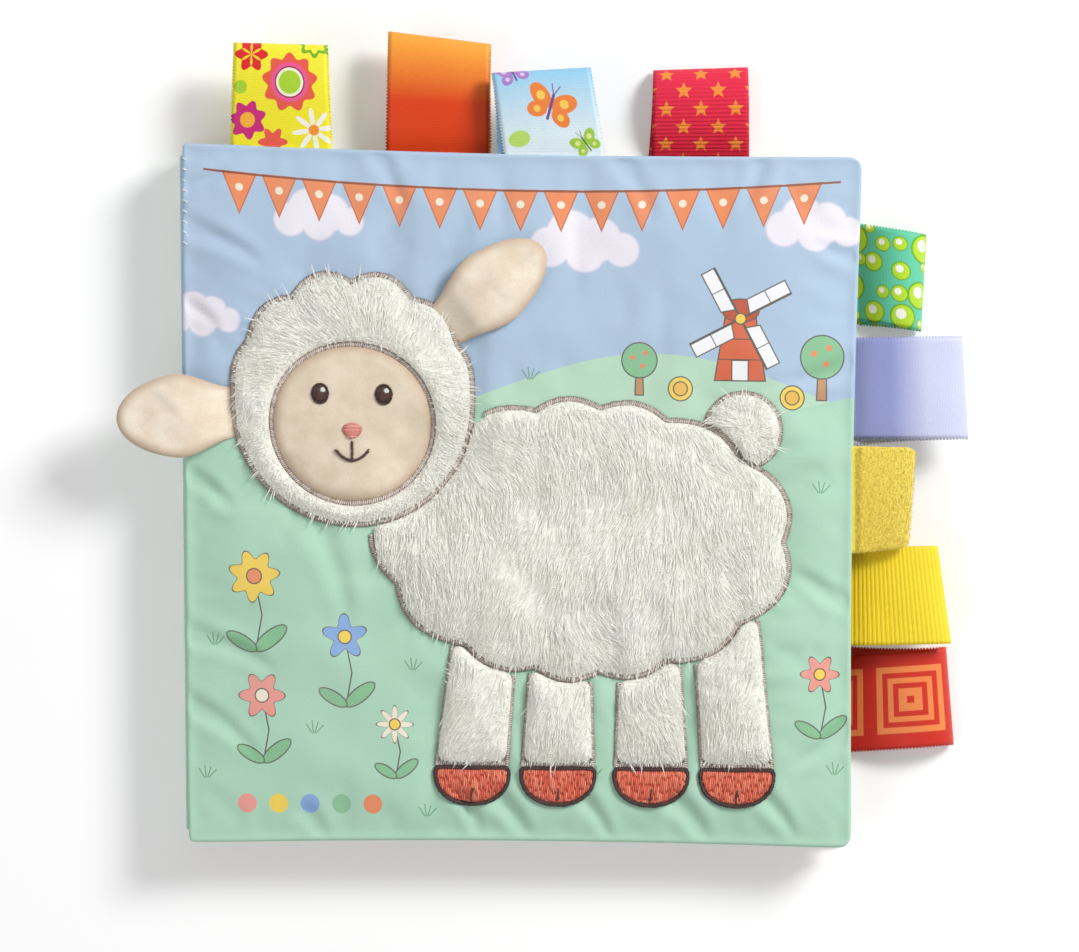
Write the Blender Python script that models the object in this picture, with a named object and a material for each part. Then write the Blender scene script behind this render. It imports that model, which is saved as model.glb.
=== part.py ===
"""A crinkle cloth book, as a Blender script: run it with blender --background --python part.py.

Three padded cloth leaves are sewn into one spine. Nine ribbon loops are sewn into their edges, and
a plush sheep with two loose ears is sewn on the cover. The book lies closed with its cover up.
Metres, +Z up. The origin is the middle of the flat underside of the back cover.
"""

import math

import bmesh
import bpy
from mathutils import Vector

MM = 0.001

# Running gap between pieces that touch
GAP = 0.3 * MM

# Leaves
LEAF_WIDTH = 148.6 * MM
LEAF_HEIGHT = 152.8 * MM
LEAF_SIDE_DRAW = 1.1 * MM
LEAF_SWELL = 1.95 * MM
FABRIC = 0.5 * MM
FILM = 0.2 * MM
FILM_INSET = 8 * MM
WADDING_INSET = 12 * MM
CROWN_POWER = 6
CORNER_SHARE = 0.04
PANEL_SHARES = (-1, -0.96, -0.88, -0.72, -0.45, 0, 0.45, 0.72, 0.88, 0.96, 1)
FILLING_SHARES = (-1, -0.8, -0.5, 0, 0.5, 0.8, 1)

# Spine
SPINE_THREAD_RADIUS = 1 * MM
SPINE_FABRIC = 0.5 * MM
SPINE_END_INSET = 3 * MM
SPINE_SIDES = 12

# Ribbon loops
RIBBON_THICKNESS = 0.5 * MM
RIBBON_OPENING = 4.8 * MM
RIBBON_SEWN_LENGTH = 1.5 * MM
RIBBON_ROOT_THICKNESS = 0.8 * MM
RIBBON_FLOOR_GAP = 0.2 * MM
PLUSH_THICKNESS = 1.2 * MM
PLUSH_OPENING = 0.8 * MM
PROFILE_STEPS = 12

# Each ribbon's leaf and edge, and its place as a share of half that edge
RIBBON_SEAT_SHARES = {
    "flower_ribbon": ("front", "top", -0.712),
    "orange_ribbon": ("middle", "top", -0.248),
    "butterfly_ribbon": ("front", "top", 0.1),
    "star_ribbon": ("back", "top", 0.538),
    "dot_ribbon": ("back", "side", 0.654),
    "lavender_ribbon": ("middle", "side", 0.315),
    "plush_ribbon": ("front", "side", -0.008),
    "ribbed_ribbon": ("middle", "side", -0.287),
    "square_ribbon": ("back", "side", -0.598),
}

# Width, and length out of the edge
RIBBON_SIZES = {
    "flower_ribbon": (22.4 * MM, 23.7 * MM),
    "orange_ribbon": (23.0 * MM, 26.0 * MM),
    "butterfly_ribbon": (22.5 * MM, 18.6 * MM),
    "star_ribbon": (21.6 * MM, 19.0 * MM),
    "dot_ribbon": (22.0 * MM, 15.4 * MM),
    "lavender_ribbon": (22.7 * MM, 24.6 * MM),
    "plush_ribbon": (24.4 * MM, 12.8 * MM),
    "ribbed_ribbon": (21.8 * MM, 20.0 * MM),
    "square_ribbon": (22.0 * MM, 21.3 * MM),
}

# Sheep
STITCH_RADIUS = 0.6 * MM
STITCH_SIDES = 5
FLEECE = 2.2 * MM
VELOUR = 1.2 * MM
HOOF = 1.1 * MM
FEATURE = 0.7 * MM
PATCH_EDGE_SHARE = 0.45
PATCH_SHARES = (1, 0.9, 0.6)
SEAM_SHARES = (-1, -0.5, 0, 0.5, 1)

BODY_PLACE_SHARES = (0.094, -0.059)
BODY_HALF_LENGTH = 43 * MM
BODY_HALF_HEIGHT = 28 * MM
BODY_CURLS = 13
BODY_CURL_SHARE = 0.07

HEAD_PLACE_SHARES = (-0.249, 0.131)
HEAD_RADIUS = 25.5 * MM
HEAD_CURLS = 12
HEAD_CURL_SHARE = 0.1

FACE_RADIUS = 16.5 * MM
FACE_DROP = 4.5 * MM

TAIL_RADIUS = 7.5 * MM
TAIL_ANGLE = 35
TAIL_STEM = 5 * MM

LEG_PLACE_SHARES = (-0.52, -0.12, 0.34, 0.74)
LEG_LEANS = (-2.5 * MM, -0.5 * MM, 0.5 * MM, 2.5 * MM)
LEG_WIDTH = 12.5 * MM
LEG_FLARE = 1 * MM
LEG_FOOT_SHARE = -0.376
HOOF_HEIGHT = 8 * MM
HOOF_FLARE = 1 * MM

EYE_SPACING = 14 * MM
EYE_HEIGHT = 2 * MM
EYE_RADIUS = 2.1 * MM
NOSE_RADIUS = 2.2 * MM
NOSE_DEPTH = 6 * MM
MOUTH_HALF_WIDTH = 3.6 * MM
MOUTH_RISE = 2.2 * MM
MOUTH_DEPTH = 12.5 * MM
MOUTH_RADIUS = 0.4 * MM
MOUTH_STEPS = 8

LEFT_EAR_DIRECTION = 185
LEFT_EAR_LENGTH = 23.6 * MM
LEFT_EAR_WIDTH = 19.5 * MM
RIGHT_EAR_DIRECTION = 40
RIGHT_EAR_LENGTH = 26 * MM
RIGHT_EAR_WIDTH = 18 * MM
EAR_BACKING = 1 * MM
EAR_LINING = 1.2 * MM
EAR_ROOT_SHARE = 0.55
EAR_SEAT_SHARE = 0.25
EAR_STEPS = 24

OUTLINE_STEPS = 60
TAIL_STEPS = 30
FEATURE_STEPS = 12
SEARCH_STEP = 0.1 * MM

# Measures that follow from the sizes above
SEAM_HALF = FABRIC + GAP / 2
LEAF_THICKNESS = 2 * (SEAM_HALF + LEAF_SWELL)
LEAF_PITCH = LEAF_THICKNESS + GAP
BOOK_THICKNESS = 2 * LEAF_PITCH + LEAF_THICKNESS
CHANNEL = 2 * (STITCH_RADIUS + GAP)
SPINE_LEFT = SPINE_FABRIC + GAP
SPINE_X = -LEAF_WIDTH / 2 - GAP - SPINE_LEFT
SPINE_Z = LEAF_PITCH + LEAF_THICKNESS / 2
BODY_CENTRE = (BODY_PLACE_SHARES[0] * LEAF_WIDTH, BODY_PLACE_SHARES[1] * LEAF_HEIGHT)
HEAD_CENTRE = (HEAD_PLACE_SHARES[0] * LEAF_WIDTH, HEAD_PLACE_SHARES[1] * LEAF_HEIGHT)
LEG_FOOT = LEG_FOOT_SHARE * LEAF_HEIGHT

# Level of each leaf's seam, and how far its faces swell below and above it
LEAVES = {
    "back": (SEAM_HALF, 0, 2 * LEAF_SWELL),
    "middle": (SPINE_Z, LEAF_SWELL, LEAF_SWELL),
    "front": (SPINE_Z + LEAF_PITCH, LEAF_SWELL, LEAF_SWELL),
}

# Colour, roughness
FINISHES = {
    "sky_print": ((0.43, 0.57, 0.75), 0.85),
    "meadow_print": ((0.40, 0.68, 0.49), 0.85),
    "page_print": ((0.86, 0.80, 0.58), 0.85),
    "wadding": ((0.88, 0.88, 0.86), 0.95),
    "film": ((0.80, 0.82, 0.84), 0.25),
    "spine_cloth": ((0.45, 0.66, 0.58), 0.85),
    "thread": ((0.36, 0.28, 0.26), 0.6),
    "white_fleece": ((0.84, 0.83, 0.79), 0.95),
    "beige_velour": ((0.80, 0.63, 0.48), 0.9),
    "coral_thread": ((0.66, 0.13, 0.07), 0.6),
    "brown_thread": ((0.09, 0.035, 0.02), 0.5),
    "pink_thread": ((0.78, 0.33, 0.30), 0.5),
    "flower_satin": ((0.78, 0.70, 0.05), 0.35),
    "orange_satin": ((0.85, 0.18, 0.01), 0.3),
    "blue_satin": ((0.42, 0.66, 0.86), 0.35),
    "star_grosgrain": ((0.62, 0.02, 0.05), 0.6),
    "dot_satin": ((0.13, 0.60, 0.42), 0.35),
    "lavender_satin": ((0.36, 0.38, 0.78), 0.3),
    "yellow_plush": ((0.86, 0.68, 0.06), 0.95),
    "yellow_grosgrain": ((0.88, 0.68, 0.01), 0.6),
    "square_satin": ((0.72, 0.07, 0.03), 0.35),
}

RIBBON_FINISHES = {
    "flower_ribbon": "flower_satin",
    "orange_ribbon": "orange_satin",
    "butterfly_ribbon": "blue_satin",
    "star_ribbon": "star_grosgrain",
    "dot_ribbon": "dot_satin",
    "lavender_ribbon": "lavender_satin",
    "plush_ribbon": "yellow_plush",
    "ribbed_ribbon": "yellow_grosgrain",
    "square_ribbon": "square_satin",
}


def clear_scene():
    for old in list(bpy.data.objects):
        bpy.data.objects.remove(old, do_unlink=True)


def finish(name):
    """The material of that name, made the first time it is asked for."""
    made = bpy.data.materials.get(name)
    if made:
        return made
    colour, roughness = FINISHES[name]
    made = bpy.data.materials.new(name)
    made.use_nodes = True
    shader = made.node_tree.nodes["Principled BSDF"]
    shader.inputs["Base Color"].default_value = (*colour, 1)
    shader.inputs["Roughness"].default_value = roughness
    shader.inputs["Metallic"].default_value = 0
    return made


def hinge(name, place, parent=None):
    """An empty on a joint's axis. Its place is in world coordinates."""
    empty = bpy.data.objects.new(name, None)
    bpy.context.scene.collection.objects.link(empty)
    empty.parent = parent
    empty["place"] = place
    base = Vector(parent["place"]) if parent else Vector()
    empty.location = Vector(place) - base
    return empty


def add_node(name, points, faces, carrier, material):
    """A solid from world points, held by the empty that it moves with."""
    origin = Vector(carrier["place"])
    mesh = bpy.data.meshes.new(name)
    mesh.from_pydata([Vector(point) - origin for point in points], [], faces)
    shape = bmesh.new()
    shape.from_mesh(mesh)
    bmesh.ops.recalc_face_normals(shape, faces=shape.faces)
    shape.to_mesh(mesh)
    shape.free()
    mesh.materials.append(finish(material))
    node = bpy.data.objects.new(name, mesh)
    node.parent = carrier
    bpy.context.scene.collection.objects.link(node)
    return node


def swell(s, t):
    """Share of a leaf's full swell: none along its seam, all of it in the middle."""
    return (1 - abs(s) ** CROWN_POWER) * (1 - abs(t) ** CROWN_POWER)


def leaf_place(s, t, inset):
    """Plan place of a point of the unit square on a leaf. The spine side stays straight."""
    if abs(s) == 1 and abs(t) == 1:
        rounding = 1 - CORNER_SHARE * (1 - math.cos(math.pi / 4))
        s, t = s * rounding, t * rounding
    half_width = LEAF_WIDTH / 2 - inset
    half_height = LEAF_HEIGHT / 2 - inset - LEAF_SIDE_DRAW * (1 - s * s)
    if s > 0:
        half_width -= LEAF_SIDE_DRAW * (1 - t * t)
    return s * half_width, t * half_height


def slab(name, shares, inset, low, high, carrier, material):
    """A closed sheet over a leaf. low and high give its faces from the share of swell there."""
    count = len(shares)
    kept = 1 - 2 * inset / LEAF_WIDTH
    points = []
    for face in (low, high):
        for t in shares:
            for s in shares:
                points.append((*leaf_place(s, t, inset), face(swell(s * kept, t * kept))))
    half = count * count
    faces = []
    for row in range(count - 1):
        for column in range(count - 1):
            a = row * count + column
            b, c, d = a + 1, a + count + 1, a + count
            faces.append((a, d, c, b))
            faces.append((half + a, half + b, half + c, half + d))
    last = count - 1
    rim = [column for column in range(last)]
    rim += [row * count + last for row in range(last)]
    rim += [last * count + column for column in range(last, 0, -1)]
    rim += [row * count for row in range(last, 0, -1)]
    for a, b in zip(rim, rim[1:] + rim[:1]):
        faces.append((a, b, half + b, half + a))
    return add_node(name, points, faces, carrier, material)


def make_leaf(leaf, names, carrier, under_print, upper_print):
    """Two cloth panels sewn round the edge, with crinkle film and wadding between them."""
    seam, down, up = LEAVES[leaf]
    under, film, wadding, upper = names

    def inner_low(share):
        return seam - GAP / 2 - down * share

    def inner_high(share):
        return seam + GAP / 2 + up * share

    def film_low(share):
        return inner_low(share) + GAP

    def wadding_low(share):
        return film_low(share) + FILM + GAP

    panel_shares = PANEL_SHARES if down else FILLING_SHARES
    slab(under, panel_shares, 0, lambda c: inner_low(c) - FABRIC, inner_low, carrier, under_print)
    slab(film, FILLING_SHARES, FILM_INSET, film_low, lambda c: film_low(c) + FILM, carrier, "film")
    slab(wadding, FILLING_SHARES, WADDING_INSET, wadding_low, lambda c: inner_high(c) - GAP, carrier,
         "wadding")
    slab(upper, PANEL_SHARES, 0, inner_high, lambda c: inner_high(c) + FABRIC, carrier, upper_print)


def cover_top(x, y):
    """Height of the cover's cloth at a place in plan."""
    seam, _, up = LEAVES["front"]
    share = swell(2 * x / LEAF_WIDTH, 2 * y / LEAF_HEIGHT)
    return seam + SEAM_HALF + up * share


def ring_solid(name, rings, carrier, material, closed_ends):
    """Joins rings of points in order. The last ring meets the first unless the ends are closed."""
    count = len(rings[0])
    points = [point for ring in rings for point in ring]
    faces = []
    spans = len(rings) - 1 if closed_ends else len(rings)
    for index in range(spans):
        start, after = index * count, (index + 1) % len(rings) * count
        for side in range(count):
            turn = (side + 1) % count
            faces.append((start + side, start + turn, after + turn, after + side))
    if closed_ends:
        faces.append(tuple(range(count - 1, -1, -1)))
        faces.append(tuple(range(len(points) - count, len(points))))
    return add_node(name, points, faces, carrier, material)


def tube(name, route, radius, sides, closed, carrier, material):
    """A round thread along a route of points."""
    rings = []
    for index, point in enumerate(route):
        before = route[index - 1] if closed or index else route[0]
        after = route[(index + 1) % len(route)] if closed or index + 1 < len(route) else point
        along = (Vector(after) - Vector(before)).normalized()
        across = along.cross(Vector((0, 0, 1))).normalized()
        if not across.length:
            across = Vector((1, 0, 0))
        upward = across.cross(along)
        ring = []
        for side in range(sides):
            angle = 2 * math.pi * side / sides
            offset = across * math.cos(angle) + upward * math.sin(angle)
            ring.append(Vector(point) - offset * radius)
        rings.append(ring)
    return ring_solid(name, rings, carrier, material, closed_ends=not closed)


def make_spine(back, front):
    """The spine's sewn core, on the hinge line, and the strips of cloth that reach it."""
    half = LEAF_HEIGHT / 2 - SPINE_END_INSET
    core = [(SPINE_X, -half, SPINE_Z), (SPINE_X, half, SPINE_Z)]
    tube("spine_seam_core", core, SPINE_THREAD_RADIUS, SPINE_SIDES, False, back, "thread")
    reach = SPINE_THREAD_RADIUS + GAP
    bottom = SPINE_Z - reach
    top = LEAVES["front"][0] + SEAM_HALF
    for name, low, high, carrier in (
        ("spine_cloth_lower", 0, bottom, back),
        ("spine_cloth_upper", SPINE_Z + reach, top, front),
    ):
        left = SPINE_X + SPINE_LEFT - SPINE_FABRIC
        right = SPINE_X + SPINE_LEFT
        rings = [
            [(left, y, low), (right, y, low), (right, y, high), (left, y, high)]
            for y in (half, -half)
        ]
        ring_solid(name, rings, carrier, "spine_cloth", closed_ends=True)


def ribbon_seat(name):
    """Middle of a ribbon's hinge line, and its directions out of the edge and along it."""
    leaf, edge, share = RIBBON_SEAT_SHARES[name]
    seam = LEAVES[leaf][0]
    along = share * (LEAF_WIDTH if edge == "top" else LEAF_HEIGHT) / 2
    far = abs(along) + RIBBON_SIZES[name][0] / 2
    if edge == "top":
        _, reach = leaf_place(2 * far / LEAF_WIDTH, 1, 0)
        return Vector((along, reach + GAP, seam)), Vector((0, 1, 0)), Vector((1, 0, 0))
    reach, _ = leaf_place(1, 2 * far / LEAF_HEIGHT, 0)
    return Vector((reach + GAP, along, seam)), Vector((1, 0, 0)), Vector((0, 1, 0))


def loop_side(start, length, root, bulge):
    """One side of a folded ribbon from its root to its fold, as distances out and away."""
    peak = max(math.sin(a / 100) * math.sin(a / 200) for a in range(314))
    side = []
    for step in range(PROFILE_STEPS + 1):
        angle = math.pi * step / PROFILE_STEPS
        out = start + length * (1 - math.cos(angle)) / 2
        away = root * math.cos(angle / 2) ** 2
        away += (bulge - root) * math.sin(angle) * math.sin(angle / 2) / peak
        side.append((out, away))
    return side


def loop_profile(start, length, root, below, above):
    """A whole loop seen along the ribbon's width: up the upper side and back along the lower."""
    upper = loop_side(start, length, root, above)
    lower = loop_side(start, length, root, below)
    return upper + [(out, -away) for out, away in reversed(lower[:-1])]


def make_ribbon(name, carrier):
    """A ribbon folded into a loop, its two ends together in the seam of the leaf."""
    seat, outward, across = ribbon_seat(name)
    leaf = RIBBON_SEAT_SHARES[name][0]
    width, length = RIBBON_SIZES[name]
    plush = name == "plush_ribbon"
    thickness = PLUSH_THICKNESS if plush else RIBBON_THICKNESS
    opening = PLUSH_OPENING if plush else RIBBON_OPENING
    depth = opening + 2 * thickness
    root = RIBBON_ROOT_THICKNESS / 2
    below = depth / 2
    if leaf == "back":
        below = LEAVES[leaf][0] - RIBBON_FLOOR_GAP
    above = depth - below
    inner_root = root / 4
    sewn = GAP + RIBBON_SEWN_LENGTH
    outer = loop_profile(GAP, length - GAP, root, below, above)
    inner_length = length - thickness - sewn
    inner = loop_profile(sewn, inner_length, inner_root, below - thickness, above - thickness)
    rings = []
    for profile, side in ((outer, -1), (outer, 1), (inner, 1), (inner, -1)):
        shift = across * side * width / 2
        rings.append([seat + outward * out + shift + Vector((0, 0, away)) for out, away in profile])
    return ring_solid(name, rings, carrier, RIBBON_FINISHES[name], closed_ends=False)


def oval_reach(angle):
    """Distance from the middle of an oval to its edge, at an angle."""
    long_way = BODY_HALF_HEIGHT * math.cos(angle)
    short_way = BODY_HALF_LENGTH * math.sin(angle)
    return BODY_HALF_LENGTH * BODY_HALF_HEIGHT / math.hypot(long_way, short_way)


def body_reach(angle):
    curl = BODY_CURL_SHARE * abs(math.sin(BODY_CURLS * angle / 2))
    return oval_reach(angle) * (1 + curl)


def head_reach(angle):
    """A round head whose wool curls over the crown only."""
    curl = HEAD_CURL_SHARE * abs(math.sin(HEAD_CURLS * angle / 2)) * max(0, math.sin(angle))
    return HEAD_RADIUS * (1 + curl)


def face_reach(angle):
    return FACE_RADIUS - FACE_DROP * math.sin(angle)


def within(centre, reach, margin, x, y):
    """Whether a place lies inside an outline grown by a margin."""
    dx, dy = x - centre[0], y - centre[1]
    return math.hypot(dx, dy) < reach(math.atan2(dy, dx)) + margin


def in_head(x, y):
    return within(HEAD_CENTRE, head_reach, CHANNEL, x, y)


def in_body(x, y):
    """Whether a place lies in the body or its stitch line, with a gap to spare."""
    return within(BODY_CENTRE, body_reach, CHANNEL + GAP, x, y)


def outline(centre, reach, steps, keep_out=None, grow=0, start=0):
    """Points round a centre, drawn back to where they leave what they keep out of."""
    places = []
    for step in range(steps):
        angle = start + 2 * math.pi * step / steps
        distance = reach(angle)
        across, up = math.cos(angle), math.sin(angle)
        while keep_out and keep_out(centre[0] + distance * across, centre[1] + distance * up):
            distance -= SEARCH_STEP
        distance += grow
        places.append((centre[0] + distance * across, centre[1] + distance * up))
    return places


def shrunk(places, centre, share):
    return [
        (centre[0] + (x - centre[0]) * share, centre[1] + (y - centre[1]) * share)
        for x, y in places
    ]


def patch(name, places, centre, thickness, base, carrier, material):
    """A crowned pad of cloth with that outline, lying on the surface that base gives."""
    rings = [shrunk(places, centre, share) for share in PATCH_SHARES]
    points = []
    for upward in (0, 1):
        for share, ring in zip(PATCH_SHARES, rings):
            rise = thickness * (1 - (1 - PATCH_EDGE_SHARE) * share ** 4) * upward
            points += [(x, y, base(x, y) + rise) for x, y in ring]
        points.append((*centre, base(*centre) + thickness * upward))
    count, layers = len(places), len(rings)
    half = count * layers + 1
    faces = []
    for side in range(count):
        turn = (side + 1) % count
        for layer in range(layers - 1):
            a, b = layer * count + side, layer * count + turn
            c, d = b + count, a + count
            faces.append((a, d, c, b))
            faces.append((half + a, half + b, half + c, half + d))
        hub = half - 1
        inmost = (layers - 1) * count
        faces.append((inmost + side, hub, inmost + turn))
        faces.append((half + inmost + side, half + inmost + turn, half + hub))
        faces.append((side, turn, half + turn, half + side))
    return add_node(name, points, faces, carrier, material)


def on_cover(x, y):
    return cover_top(x, y) + GAP


def collar(name, inner, outer, thickness, carrier, material):
    """A ring of fleece between two outlines of as many points."""
    section = ((0, 0), (0, PATCH_EDGE_SHARE), (0.3, 1), (0.7, 1), (1, PATCH_EDGE_SHARE), (1, 0))
    rings = []
    for (ix, iy), (ox, oy) in zip(inner, outer):
        ring = []
        for out_share, rise_share in section:
            x, y = ix + (ox - ix) * out_share, iy + (oy - iy) * out_share
            ring.append((x, y, on_cover(x, y) + thickness * rise_share))
        rings.append(ring)
    return ring_solid(name, rings, carrier, material, closed_ends=False)


def stitch_line(name, places, closed, carrier, material):
    """A raised line of satin stitch on the cover along the places."""
    route = [(x, y, on_cover(x, y) + STITCH_RADIUS) for x, y in places]
    return tube(name, route, STITCH_RADIUS, STITCH_SIDES, closed, carrier, material)


def leg_top(x):
    """Where a leg's fleece ends under the body's outline, at a place along the body."""
    y = LEG_FOOT
    while not in_body(x, y + SEARCH_STEP) and not in_head(x, y + SEARCH_STEP):
        y += SEARCH_STEP
    return y


def leg_places(middle, foot):
    """A leg's outline, wider at its foot, with its upper end along the body."""
    places = []
    steps = FEATURE_STEPS // 2
    for step in range(steps + 1):
        x = middle + LEG_WIDTH * (step / steps - 1 / 2)
        places.append((x, leg_top(x)))
    flared = LEG_WIDTH / 2 + LEG_FLARE
    places.append((foot + flared, LEG_FOOT))
    places.append((foot, LEG_FOOT))
    places.append((foot - flared, LEG_FOOT))
    return places[::-1]


def hoof_places(middle):
    """A hoof's outline: a half oval under its leg."""
    top = LEG_FOOT - CHANNEL
    half = LEG_WIDTH / 2 + LEG_FLARE + HOOF_FLARE
    places = []
    for step in range(FEATURE_STEPS + 1):
        angle = math.pi * (1 + step / FEATURE_STEPS)
        x, y = math.cos(angle), math.sin(angle)
        places.append((middle + half * x, top + HOOF_HEIGHT * math.copysign(abs(y) ** 0.7, y)))
    return places


def make_leg(name, middle, foot, carrier):
    places = leg_places(middle, foot)
    top = leg_top(middle)
    centre = ((middle + foot) / 2, (top + LEG_FOOT) / 2)
    patch(f"{name}_fleece", places, centre, FLEECE, on_cover, carrier, "white_fleece")
    sole = (foot, LEG_FOOT - CHANNEL - HOOF_HEIGHT / 3)
    patch(f"{name}_hoof", hoof_places(foot), sole, HOOF, on_cover, carrier, "coral_thread")
    half = LEG_WIDTH / 2 + LEG_FLARE
    seam = [(foot + half * share, LEG_FOOT - CHANNEL / 2) for share in SEAM_SHARES]
    stitch_line(f"{name}_stitch_line", seam, False, carrier, "thread")


def make_tail(carrier):
    angle = math.radians(TAIL_ANGLE)
    distance = body_reach(angle) + TAIL_STEM
    centre = (
        BODY_CENTRE[0] + distance * math.cos(angle),
        BODY_CENTRE[1] + distance * math.sin(angle),
    )
    places = outline(centre, lambda _: TAIL_RADIUS, TAIL_STEPS, in_body)
    patch("tail_fleece", places, centre, FLEECE, on_cover, carrier, "white_fleece")


def make_face(carrier):
    """The velour face with its embroidered eyes, nose and mouth."""
    places = outline(HEAD_CENTRE, face_reach, OUTLINE_STEPS // 2)
    patch("face_velour", places, HEAD_CENTRE, VELOUR, on_cover, carrier, "beige_velour")

    def on_face(x, y):
        return on_cover(x, y) + VELOUR + GAP

    head_x, head_y = HEAD_CENTRE
    for name, side in (("left_eye", -1), ("right_eye", 1)):
        eye = (head_x + side * EYE_SPACING / 2, head_y + EYE_HEIGHT)
        eye_places = outline(eye, lambda _: EYE_RADIUS, FEATURE_STEPS)
        patch(name, eye_places, eye, FEATURE, on_face, carrier, "brown_thread")
    nose = (head_x, head_y - NOSE_DEPTH)
    nose_places = outline(nose, lambda _: NOSE_RADIUS, FEATURE_STEPS)
    patch("nose", nose_places, nose, FEATURE, on_face, carrier, "pink_thread")
    smile = []
    for step in range(MOUTH_STEPS + 1):
        share = 2 * step / MOUTH_STEPS - 1
        x = head_x + MOUTH_HALF_WIDTH * share
        y = head_y - MOUTH_DEPTH + MOUTH_RISE * share * share
        smile.append((x, y, on_face(x, y) + MOUTH_RADIUS))
    tube("mouth", smile, MOUTH_RADIUS, STITCH_SIDES, False, carrier, "brown_thread")


def make_body_line(carrier):
    """The stitch line round the body, from one side of the head to the other."""
    head_way = math.atan2(HEAD_CENTRE[1] - BODY_CENTRE[1], HEAD_CENTRE[0] - BODY_CENTRE[0])
    line = outline(BODY_CENTRE, body_reach, OUTLINE_STEPS, grow=CHANNEL / 2, start=head_way)
    clear = [place for place in line if not within(HEAD_CENTRE, head_reach, 2 * CHANNEL, *place)]
    stitch_line("body_stitch_line", clear, False, carrier, "thread")


def make_sheep(carrier):
    """A plush sheep sewn flat on the cover, with lines of satin stitch round its fleece."""
    body = outline(BODY_CENTRE, body_reach, OUTLINE_STEPS, in_head)
    patch("body_fleece", body, BODY_CENTRE, FLEECE, on_cover, carrier, "white_fleece")
    head = outline(HEAD_CENTRE, head_reach, OUTLINE_STEPS)
    opening = outline(HEAD_CENTRE, face_reach, OUTLINE_STEPS, grow=CHANNEL)
    collar("head_fleece", opening, head, FLEECE, carrier, "white_fleece")
    half = CHANNEL / 2
    head_line = outline(HEAD_CENTRE, head_reach, OUTLINE_STEPS, grow=half)
    stitch_line("head_stitch_line", head_line, True, carrier, "thread")
    face_line = outline(HEAD_CENTRE, face_reach, OUTLINE_STEPS // 2, grow=half)
    stitch_line("face_stitch_line", face_line, True, carrier, "thread")
    make_body_line(carrier)
    make_face(carrier)
    make_tail(carrier)
    for index, (share, lean) in enumerate(zip(LEG_PLACE_SHARES, LEG_LEANS)):
        middle = BODY_CENTRE[0] + share * BODY_HALF_LENGTH
        make_leg(f"leg_{index + 1}", middle, middle + lean, carrier)


def ear_root(direction):
    """Middle of an ear's sewn edge, beside the stitch line round the head."""
    angle = math.radians(direction)
    distance = HEAD_RADIUS * (1 + HEAD_CURL_SHARE / 2) + CHANNEL
    top = BOOK_THICKNESS + GAP + EAR_BACKING + GAP + EAR_LINING
    x = HEAD_CENTRE[0] + distance * math.cos(angle)
    y = HEAD_CENTRE[1] + distance * math.sin(angle)
    return Vector((x, y, top))


def ear_places(direction, length, width):
    """An ear's outline: a soft leaf shape that starts wide at its sewn edge."""
    angle = math.radians(direction)
    out = Vector((math.cos(angle), math.sin(angle)))
    across = Vector((-out.y, out.x))
    root = ear_root(direction).xy
    places = []
    for step in range(EAR_STEPS):
        turn = 2 * math.pi * (step + 1 / 2) / EAR_STEPS
        along = (1 - math.cos(turn)) / 2
        side = math.sin(turn) * (1 - EAR_ROOT_SHARE * (1 - along) ** 3 / 2)
        squared = math.copysign(abs(side) ** 0.8, side)
        place = root + out * (GAP + (length - GAP) * along) + across * squared * width / 2
        places.append(tuple(place))
    return places


def make_ear(name, direction, length, width, carrier):
    """A flap of two cloths: fleece underneath and velour on top."""
    places = ear_places(direction, length, width)
    centre = (sum(x for x, _ in places) / EAR_STEPS, sum(y for _, y in places) / EAR_STEPS)
    level = BOOK_THICKNESS + GAP
    angle = math.radians(direction)
    out = Vector((math.cos(angle), math.sin(angle)))
    root = ear_root(direction).xy

    def backing_base(x, y):
        sewn = (Vector((x, y)) - root).dot(out) < EAR_SEAT_SHARE * length
        return on_cover(x, y) if sewn else level

    def lining_base(_x, _y):
        return level + EAR_BACKING + GAP

    patch(f"{name}_backing", places, centre, EAR_BACKING, backing_base, carrier, "white_fleece")
    patch(f"{name}_lining", places, centre, EAR_LINING, lining_base, carrier, "beige_velour")


def main():
    clear_scene()
    spine = (SPINE_X, 0, SPINE_Z)
    back = hinge("back_cover_frame", (0, 0, 0))
    middle = hinge("middle_leaf_hinge", spine, back)
    front = hinge("front_cover_hinge", spine, middle)
    carriers = {"back": back, "middle": middle, "front": front}
    make_leaf(
        "back",
        ("back_cover_outer_panel", "back_cover_crinkle_film", "back_cover_wadding",
         "back_cover_inner_panel"),
        back, "meadow_print", "page_print",
    )
    make_leaf(
        "middle",
        ("middle_leaf_under_panel", "middle_leaf_crinkle_film", "middle_leaf_wadding",
         "middle_leaf_upper_panel"),
        middle, "page_print", "page_print",
    )
    make_leaf(
        "front",
        ("front_cover_inner_panel", "front_cover_crinkle_film", "front_cover_wadding",
         "front_cover_outer_panel"),
        front, "page_print", "sky_print",
    )
    make_spine(back, front)
    make_sheep(front)
    for name, (leaf, _, _) in RIBBON_SEAT_SHARES.items():
        carrier = hinge(f"{name}_hinge", tuple(ribbon_seat(name)[0]), carriers[leaf])
        make_ribbon(name, carrier)
    for name, direction, length, width in (
        ("left_ear", LEFT_EAR_DIRECTION, LEFT_EAR_LENGTH, LEFT_EAR_WIDTH),
        ("right_ear", RIGHT_EAR_DIRECTION, RIGHT_EAR_LENGTH, RIGHT_EAR_WIDTH),
    ):
        carrier = hinge(f"{name}_hinge", tuple(ear_root(direction)), front)
        make_ear(name, direction, length, width, carrier)


main()
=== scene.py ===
"""Dresses the crinkle cloth book: leaves, plush sheep, stitching, ribbon loops, light and floor.

Lengths are millimetres until a mesh is made. The plan's origin is the middle of the book.
"""

import math

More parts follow.
